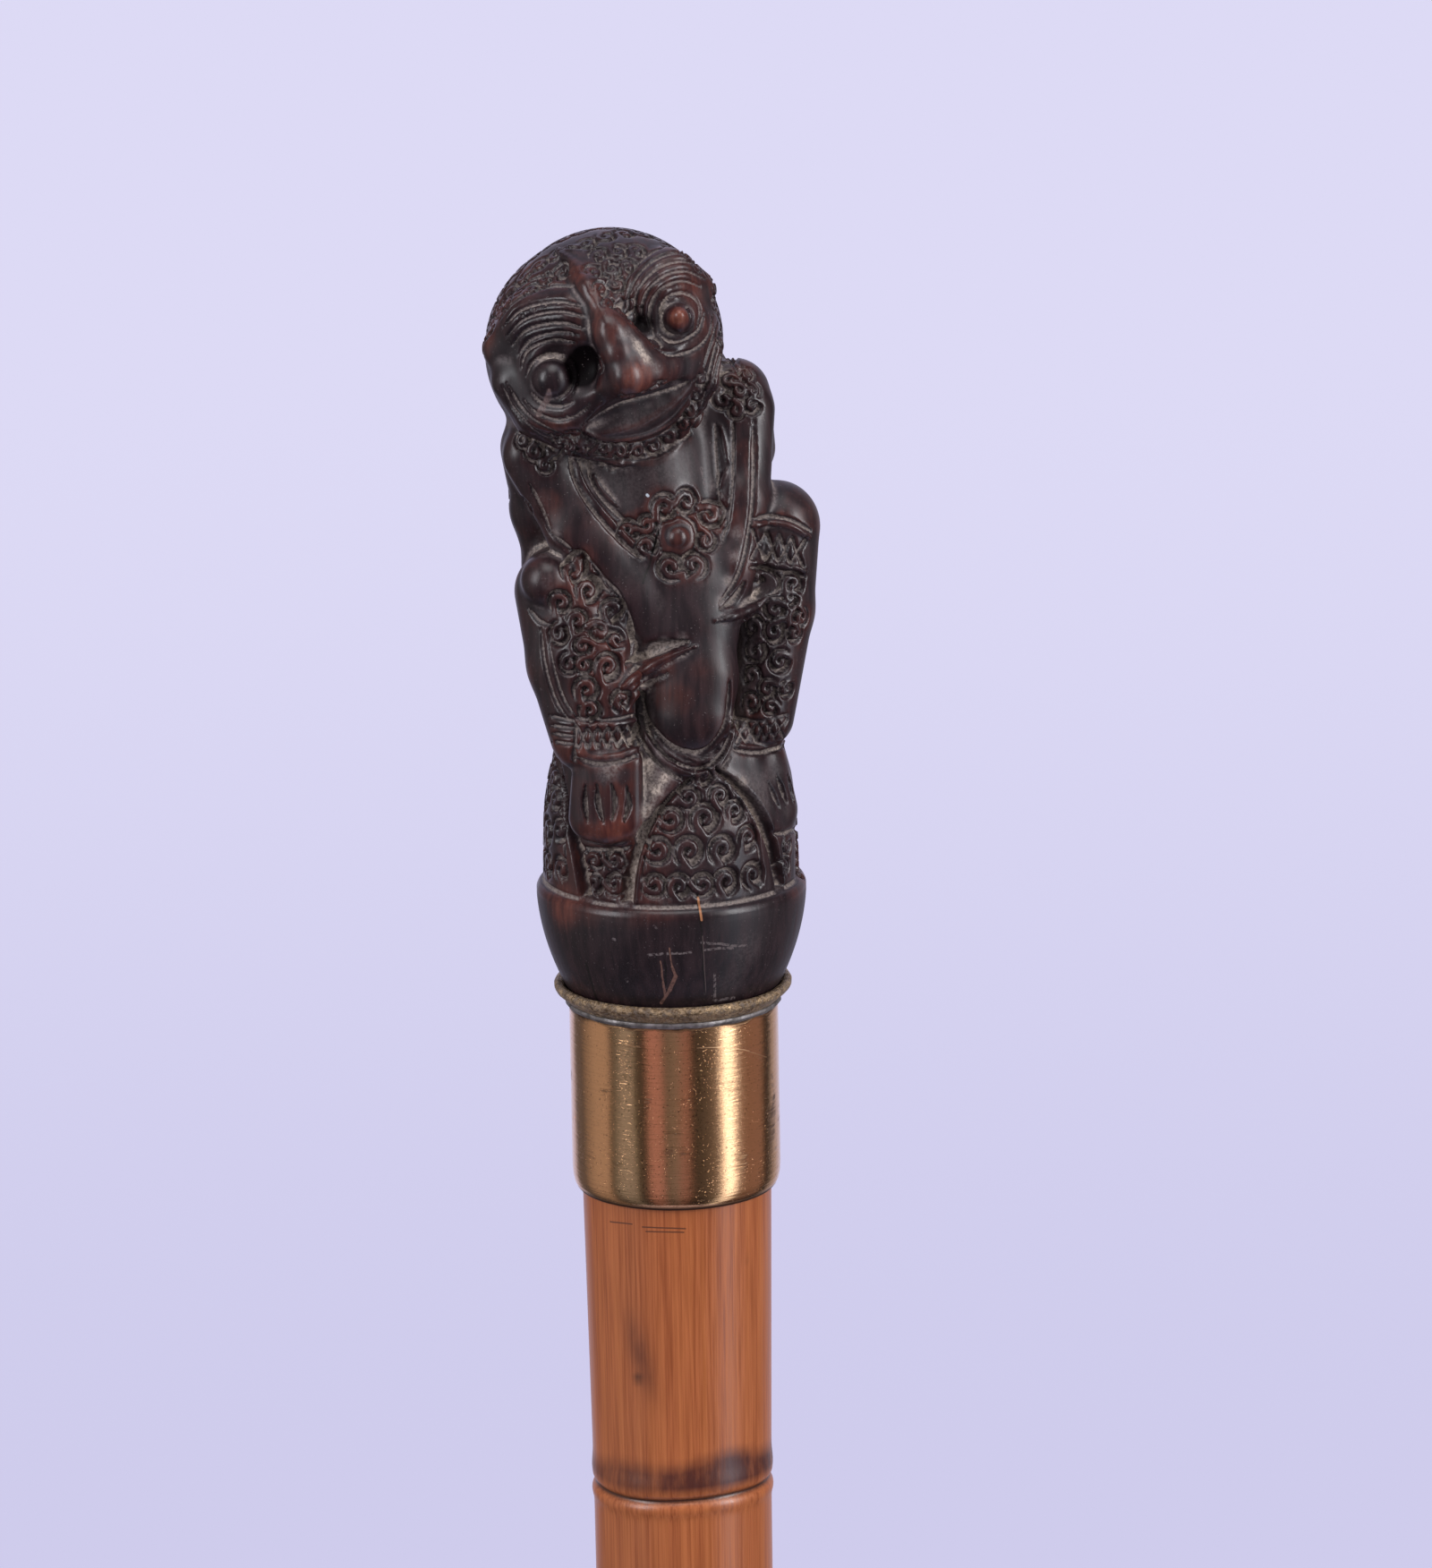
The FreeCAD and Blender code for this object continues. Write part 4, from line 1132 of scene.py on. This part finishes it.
def brass(name, clean, tarnish, cover, roughness, waviness, scratches=(), ends=None, crust=0.0):
    """Brass with polishing marks round it, and specks and patches of tarnish. It may have scratches, a darker
    band at each of its two ends, the top one painted shade under the rim, and a crust of soil."""
    made, n = material(name)
    marks = n.noise(2400, 4, 0.6, (0.06, 0.06, 1))
    specks = n.noise(3800, 2)
    blots = n.noise(210, 4, 0.6, (1, 1, 0.7), 0.4)
    waves = n.noise(60, 2, 0.4, (1, 1, 0.4))
    dull = n.ramp(n.plus(n.times(blots, 0.72), n.times(marks, 0.28)), cover, cover + 0.18)
    base = n.mix(n.most(dull, n.ramp(specks, 0.62, 0.72, 0, 0.75)), clean, tarnish)
    rough = n.ramp(n.plus(n.times(dull, 0.6), n.times(marks, 0.5)), 0.2, 0.9)
    rough = n.ramp(rough, 0, 1, roughness, roughness + 0.26)
    height = n.plus(waves, n.times(marks, 0.1))
    if ends:
        up = n.new("SeparateXYZ", Vector=n.new("TexCoord").outputs["Object"]).outputs["Z"]
        ragged = n.plus(up, n.times(n.minus(blots, 0.5), 0.0016))
        foot, top = (LEDGE + end * MM for end in ends)
        # Painted shade in a band just under the top end, under the rim; the foot is darkened as well
        dark_ends = n.ramp(ragged, top - 0.0011, top - 0.0004)
        dark_ends = n.most(n.ramp(up, foot + 0.0003, foot + 0.0009, 1.0, 0.0), dark_ends)
        base = n.mix(dark_ends, base, colour(72, 54, 42))
        rough = n.most(rough, n.times(dark_ends, 0.6))
    if scratches:
        rubbed = n.ramp(n.noise(3000, 2), 0.62, 0.76, 0, 0.8)
        for line in scratches:
            rubbed = n.most(rubbed, n.near_line(line, 0.09, 0.03, SLEEVE_RADIUS))
        rough = n.most(rough, n.times(rubbed, 0.3))
    n.finish(Metallic=1.0)
    if crust:
        grains = n.ramp(n.noise(1900, 3, 0.7), 0.36, 0.6, 0, crust)
        soil = n.mix(n.ramp(n.noise(1200, 3), 0.4, 0.62), colour(92, 80, 72), colour(150, 126, 98))
        base = n.mix(grains, base, soil)
        n.finish(Metallic=n.minus(1.0, grains))
        rough = n.most(rough, n.times(grains, 0.9))
        height = n.plus(height, n.times(grains, 0.08))
    height = n.plus(height, n.times(n.noise(5200, 2), 0.008))
    glints = n.times(n.ramp(n.noise(4400, 1), 0.68, 0.73), n.ramp(blots, 0.42, 0.58, 0.2, 1.0))
    height = n.minus(height, n.times(glints, 0.025))
    n.finish(Base_Color=base, Roughness=rough, Normal=n.bump(height, waviness, 0.001))
    return made


# Dark scores across the cane, from pixel to pixel
SCORES = "682,1365,706,1368 718,1371,766,1373 722,1376,764,1377"


def bamboo():
    """Varnished bamboo: fine fibres, the stains marked on the cane, and painted shade in the grooves of its
    nodes.
    """
    made, n = material("varnished_bamboo")
    stain, groove_shade_and_spots = n.attribute("stain"), n.attribute("groove_shade_and_spots")
    fibres = n.noise(3600, 3, 0.6, (1, 1, 0.012))
    strands = n.noise(900, 3, 0.5, (1, 1, 0.02))
    bands = n.noise(60, 3, 0.5, (1, 1, 0.3))
    blotch = n.noise(420, 4, 0.6, (1, 1, 0.3))
    base = n.mix(n.ramp(fibres, 0.3, 0.7), colour(126, 64, 31), colour(158, 88, 48))
    base = n.mix(n.ramp(strands, 0.35, 0.75, 0, 0.5), base, colour(170, 100, 55))
    base = n.mix(n.ramp(bands, 0.5, 0.8, 0, 0.45), base, colour(104, 52, 28))
    patchy = n.times(stain, n.ramp(blotch, 0.3, 0.62, 0.6, 1.0))
    base = n.mix(patchy, base, colour(62, 26, 20))
    # Painted shade along the bottom of each node's groove, and the dark spots
    base = n.mix(groove_shade_and_spots, base, colour(40, 20, 14))
    for line in table(SCORES):
        base = n.mix(n.near_line(line, 0.12, 0.1, CANE_RADIUS), base, colour(84, 46, 28))
    n.finish(Base_Color=base, Roughness=n.ramp(fibres, 0.3, 0.7, 0.3, 0.42))
    n.finish(Normal=n.bump(fibres, 0.3, 0.00006))
    return made


def plain_wood():
    made, n = material("turned_wood")
    grain = n.noise(500, 4, 0.6, (1, 1, 0.06))
    base = n.mix(n.ramp(grain, 0.3, 0.7), colour(150, 112, 74), colour(190, 150, 104))
    n.finish(Base_Color=base, Roughness=0.55)
    return made


def steel(name, tint, roughness):
    made, n = material(name)
    streaks = n.noise(700, 4, 0.6)
    base = n.mix(n.ramp(streaks, 0.3, 0.7), tint, colour(96, 92, 90))
    rough = n.ramp(streaks, 0.3, 0.7, roughness, roughness + 0.2)
    n.finish(Base_Color=base, Metallic=1.0, Roughness=rough)
    return made


def lathe(name, radii, heights, around, attributes=None, wobble=None):
    """A turned piece from rows of radii at heights above the ledge; wobble(angle, height) is added."""
    angle = np.arange(around) * 2 * math.pi / around
    turn, high = np.meshgrid(angle, heights)
    wide = np.repeat(np.asarray(radii, float)[:, None], around, 1)
    if wobble:
        wide = wide + wobble(turn, high)
    ring = np.stack([wide * np.sin(turn), -wide * np.cos(turn), high], -1).reshape(-1, 3)
    row, column = np.meshgrid(np.arange(len(heights) - 1) * around, np.arange(around), indexing="ij")
    after = (column + 1) % around
    faces = np.stack([row + column, row + after, row + around + after, row + around + column], -1)
    marks = {key: value(turn, high).ravel() for key, value in (attributes or {}).items()}
    return mesh_piece(name, ring, faces.reshape(-1, 4), marks)


# The bamboo's heights in millimetres above the floor, then above the ledge
CANE_HEIGHTS = (785, 767, 725.5, 37, 5.5)
CANE_TOP, COLLAR, FIRST_NODE, FERRULE_TOP, CANE_FOOT = (high - LEDGE / MM for high in CANE_HEIGHTS)
# Its nodes stand farther apart lower down
cane_nodes = [FIRST_NODE]
gap = 78.0
while cane_nodes[-1] - gap > FERRULE_TOP + 8:
    cane_nodes.append(cane_nodes[-1] - gap)
    gap *= 1.12
node_array = np.array(cane_nodes)
SPOT_DEPTH = -11  # of the cane's stains along y, in millimetres


def bell(value, middle, width):
    return np.exp(-(((value - middle) / width) ** 2))


def from_node(turn, high):
    """How far above its nearest node's wavy line a point of the cane is."""
    line = 0.25 * np.sin(turn + 0.6) + 0.12 * np.sin(3 * turn + 1)
    nearest = node_array[np.abs(high[..., None] - node_array).argmin(-1)]
    return high - nearest - line


def across_from(turn, spot, radius):
    """How far round the cane a turn is from a spot."""
    return (turn - math.atan2(spot[0], -spot[1]) % (2 * math.pi)) * radius


def cane_wobble(turn, high):
    up = from_node(turn, high)
    node = 0.26 * bell(up, -1.4, 0.9) + 0.2 * bell(up, 1.9, 1.6) - 0.42 * bell(up, 0, 0.45)
    return node + 0.05 * np.sin(2 * turn + 0.8) + 0.04 * np.sin(3 * turn + high * 0.03)


def stain_on(turn, high):
    """The dark band over each node, darkest to the right, and a dark patch nearer the collar."""
    up = from_node(turn, high)
    height = 6.2 + 0.7 * np.sin(2 * turn + 1) + 0.5 * np.sin(5 * turn)
    band_share = np.clip((up - 0.6) / 1.4, 0, 1) * np.clip((height - up) / 2.2, 0, 1)
    band_share *= 0.8 + 0.2 * np.cos(turn - 0.5)
    patch = at(712, 1520, SPOT_DEPTH)
    across = across_from(turn, patch, 12.5) + (high - patch[2]) * 0.25
    return np.clip(np.maximum(band_share, 0.75 * bell(across, 0, 1.7) * bell(high, patch[2], 5)), 0, 1)


def groove_shade_and_spots_on(turn, high):
    """The bottom of each node's groove, darkened as painted shade, and two dark spots."""
    dark = bell(from_node(turn, high), 0.05, 0.36)
    for x, y, size in ((799, 1725, 0.45), (705, 1545, 0.7), (838, 1408, 0.3)):
        spot = at(x, y, SPOT_DEPTH)
        near = bell(across_from(turn, spot, 12.2), 0, size) * bell(high, spot[2], size)
        dark = np.maximum(dark, 0.8 * near)
    return dark


near_nodes = [node + np.arange(-4, 5.01, 0.25) for node in cane_nodes]
seen_part = np.arange(-84.5, CANE_TOP, 0.8)
all_along = np.arange(FERRULE_TOP, CANE_TOP, 6)
heights = np.unique(np.round(np.concatenate([*near_nodes, seen_part, all_along, [CANE_TOP]]), 2))
radii = np.interp(heights, [FERRULE_TOP, FIRST_NODE, COLLAR, CANE_TOP], [9.9, 12.1, 12.75, 12.75])
radii = np.concatenate([[0.01, 8.6, 8.6], radii, [8.35, 8.35]])
heights = np.concatenate([[CANE_FOOT, CANE_FOOT, FERRULE_TOP], heights, [CANE_TOP, CANE_TOP - 3]])
cane = lathe("bamboo_cane", radii, heights, 176, {"stain": stain_on, "groove_shade_and_spots": groove_shade_and_spots_on}, cane_wobble)
cane.data.materials.append(bamboo())
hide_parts("bamboo_shaft")
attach(cane, "root")

# The sleeve, rolled in at its foot, the rim with its worn edge, and the solder between them
SLEEVE_FOOT, SLEEVE_TOP = COLLAR, COLLAR + 26
sleeve_profile = (
    (12.86, 2.5), (12.86, 0.15), (13.0, 0), (13.25, 0.1), (13.55, 0.45), (13.8, 1.0), (13.97, 1.8),
    (14.05, 2.9), (14.06, 8), (14.04, 14), (14.06, 20), (14.05, 25.6), (14.05, 26.05), (12.86, 26.05),
)
rim_profile = (
    (14.1, 0.3), (14.35, 0.45), (14.8, 0.85), (15.3, 1.3), (15.75, 1.7), (15.95, 2.1), (15.97, 2.45),
    (15.8, 2.75), (15.45, 2.88), (15.0, 2.8), (14.75, 2.65), (14.3, 1.6), (13.7, 0.1), (14.1, 0.05),
)
solder_profile = ((14.03, -0.5), (14.25, -0.35), (14.5, -0.02), (14.45, 0.35), (14.15, 0.5))


def refined(profile, foot, steps=3):
    """A profile's radii and heights with points added between."""
    table = np.array(profile, float)
    place = np.linspace(0, len(table) - 1, (len(table) - 1) * steps + 1)
    return (np.interp(place, range(len(table)), table[:, column]) + (column and foot) for column in (0, 1))


def dented(turn, high):
    return 0.05 * np.sin(3 * turn + 0.5) + 0.03 * np.sin(11 * turn) + 0.02 * np.sin(23 * turn + high * 3)


def uneven(turn, high):
    return 0.05 * np.sin(7 * turn + 0.5) + 0.04 * np.sin(17 * turn) + 0.03 * np.sin(31 * turn + 2)


TURNED = (
    ("brass_sleeve", sleeve_profile, SLEEVE_FOOT, None, "polished_brass", ("collar_sleeve",)),
    ("brass_rim", rim_profile, SLEEVE_TOP, dented, "antique_brass", ("collar_rim",)),
    ("solder_line", solder_profile, SLEEVE_TOP, uneven, "solder", ("collar_solder_seam",)),
)

# The long scratch across the sleeve, from pixel to pixel
SLEEVE_SCRATCH = table("779,1171,806,1170 806,1170,832,1173 832,1173,856,1181")

MATERIALS = {
    "polished_brass": brass(
        "polished_brass", colour(222, 173, 126), colour(110, 80, 58), 0.54, 0.12, 0.6,
        scratches=list(SLEEVE_SCRATCH), ends=(SLEEVE_FOOT, SLEEVE_TOP),
    ),
    "antique_brass": brass(
        "antique_brass", colour(140, 118, 90), colour(98, 80, 62), 0.42, 0.42, 1.0, crust=0.8
    ),
    "dowel_wood": plain_wood(),
    "solder": steel("solder", colour(150, 146, 146), 0.5),
    "toe_steel": steel("toe_steel", colour(150, 148, 146), 0.35),
}
handle.data.materials.append(handle_wood())
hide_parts("carved_handle")
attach(handle, "root")

for name, profile, foot, wobble, finish, nodes in TURNED:
    piece = lathe(name, *refined(profile, foot), 200, wobble=wobble)
    piece.data.materials.append(MATERIALS[finish])
    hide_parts(*nodes)
    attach(piece, "root")

for subpart in frame["record"]["subparts"]:
    node = frame["nodes"][subpart["node"]]
    finish = MATERIALS.get(subpart["material_slot"])
    if finish:
        for slot in node.material_slots:
            slot.material = finish


# Floor, backdrop, lights and camera


def plane(name, corners, finish):
    mesh = bpy.data.meshes.new(name)
    mesh.from_pydata(corners, [], [tuple(range(len(corners)))])
    made = bpy.data.objects.new(name, mesh)
    bpy.context.scene.collection.objects.link(made)
    mesh.materials.append(finish)
    return made


floor_finish, floor_nodes = material("pale_floor")
floor_nodes.finish(Base_Color=colour(190, 187, 216), Roughness=0.85)
FLOOR_RADIUS, FLOOR_SIDES = 0.4, 96
turns = [step * 2 * math.pi / FLOOR_SIDES for step in range(FLOOR_SIDES)]
disc = [(FLOOR_RADIUS * math.cos(turn), FLOOR_RADIUS * math.sin(turn), 0) for turn in turns]
plane("floor", disc, floor_finish)

world = bpy.data.worlds.new("studio")
bpy.context.scene.world = world
world.use_nodes = True
world.node_tree.nodes.clear()
w = Nodes(world)
way = w.new("SeparateXYZ", Vector=w.new("TexCoord").outputs["Generated"])
# What the camera sees, and glass would: a pale lavender backdrop, a little darker lower down
level = w.ramp(way.outputs["Z"], -0.32, -0.21)
view = w.new("Background", Color=w.mix(level, colour(207, 204, 236), colour(221, 218, 245)), Strength=1.0)
# What metal and varnish show: the backdrop behind and the dim room in front, by the angle round the stick
round_stick = w.math("ARCTAN2", way.outputs["X"], w.times(way.outputs["Y"], -1.0))
share = w.plus(w.math("DIVIDE", round_stick, 2 * math.pi), 0.5)
walls = w.new("ValToRGB", Fac=share)
GREY, WARM, COOL = (1.0, 0.95, 1.08), (1.0, 0.87, 0.87), (1.0, 1.1, 1.3)
PINK, BROWN = (1.0, 0.64, 0.74), (1.0, 0.72, 0.76)
BACKDROP = colour(214, 211, 240)[:3]
ROOM = (
    (-180, 1.0, BACKDROP), (-163, 0.8, BACKDROP), (-154, 0.15, GREY), (-138, 0.12, GREY),
    (-130, 0.24, WARM), (-112, 0.4, WARM), (-95, 0.42, WARM), (-89, 0.12, GREY), (-83, 0.16, COOL),
    (-74, 0.3, COOL), (-62, 0.27, COOL), (-56, 0.07, GREY), (-47, 0.07, GREY), (-41, 0.43, PINK),
    (-28, 0.38, PINK), (-25, 0.14, GREY), (-14, 0.22, GREY), (0, 0.3, PINK), (4, 0.28, PINK),
    (7, 0.055, GREY), (16, 0.07, GREY), (28, 0.13, GREY), (39, 0.28, GREY), (44, 2.2, COOL),
    (54, 2.2, COOL), (60, 0.4, GREY), (70, 0.24, BROWN), (97, 0.26, BROWN), (103, 0.05, GREY),
    (112, 0.045, GREY), (124, 0.4, GREY), (160, 1.0, BACKDROP),
)
walls.color_ramp.elements.remove(walls.color_ramp.elements[0])
for number, (angle, strength, tint) in enumerate(ROOM):
    place = (angle / 360 + 0.5) % 1.0 if angle < 180 else 1.0
    stop = walls.color_ramp.elements.new(place) if number else walls.color_ramp.elements[0]
    stop.position = place
    stop.color = (*(strength * share for share in tint), 1)
lower = w.ramp(way.outputs["Z"], -0.75, -0.3, 0.4, 1.0)
room = w.new("Background", Color=walls.outputs["Color"], Strength=w.times(lower, 1.1))
# What lights the object: the same level all round
plain = w.new("Background", Color=(0.98, 0.96, 1.04, 1.0), Strength=0.42)
path = w.new("LightPath").outputs
lit = w.new("MixShader", Fac=path["Is Glossy Ray"])
w.set(lit.inputs[1], plain.outputs[0])
w.set(lit.inputs[2], room.outputs[0])
mixed = w.new("MixShader", Fac=w.most(path["Is Camera Ray"], path["Is Transmission Ray"]))
w.set(mixed.inputs[1], lit.outputs[0])
w.set(mixed.inputs[2], view.outputs[0])
w.new("OutputWorld", Surface=mixed.outputs[0])


def softbox(name, azimuth, height, distance, width, tall, power, tint):
    """An area lamp that looks at the handle."""
    lamp = bpy.data.lights.new(name, "AREA")
    lamp.shape = "RECTANGLE"
    lamp.size = width
    lamp.size_y = tall
    lamp.energy = power
    lamp.color = tint
    made = bpy.data.objects.new(name, lamp)
    bpy.context.scene.collection.objects.link(made)
    side, way = directions(math.radians(azimuth), math.radians(height))
    made.location = way * distance + (0, 0, LEDGE)
    aim(made, side, np.cross(way, side), way)


def aim(made, side, upward, back):
    """Turns an object so that it looks along minus back."""
    rows = [[side[n], upward[n], back[n], made.location[n]] for n in range(3)]
    made.matrix_world = Matrix(rows + [[0, 0, 0, 1]])


softbox("right_softbox", 48, 18, 1.2, 0.35, 0.9, 13, (1.0, 0.98, 0.98))
softbox("left_softbox", -70, 20, 1.3, 0.4, 0.9, 12, (0.96, 0.96, 1.0))
softbox("top_softbox", -13, 70, 1.3, 0.8, 0.8, 9, (1.0, 1.0, 1.0))

SENSOR = 36
camera = bpy.data.cameras.new("camera")
camera.sensor_fit = "VERTICAL"
camera.sensor_height = SENSOR
camera.lens = SENSOR * FOCUS / PHOTO_HEIGHT
camera.clip_end = 30
camera_object = bpy.data.objects.new("camera", camera)
bpy.context.scene.collection.objects.link(camera_object)
camera_object.location = EYE * MM + (0, 0, LEDGE)
aim(camera_object, RIGHT, UP, BACK)
bpy.context.scene.camera = camera_object
bpy.context.scene.view_settings.view_transform = "Standard"
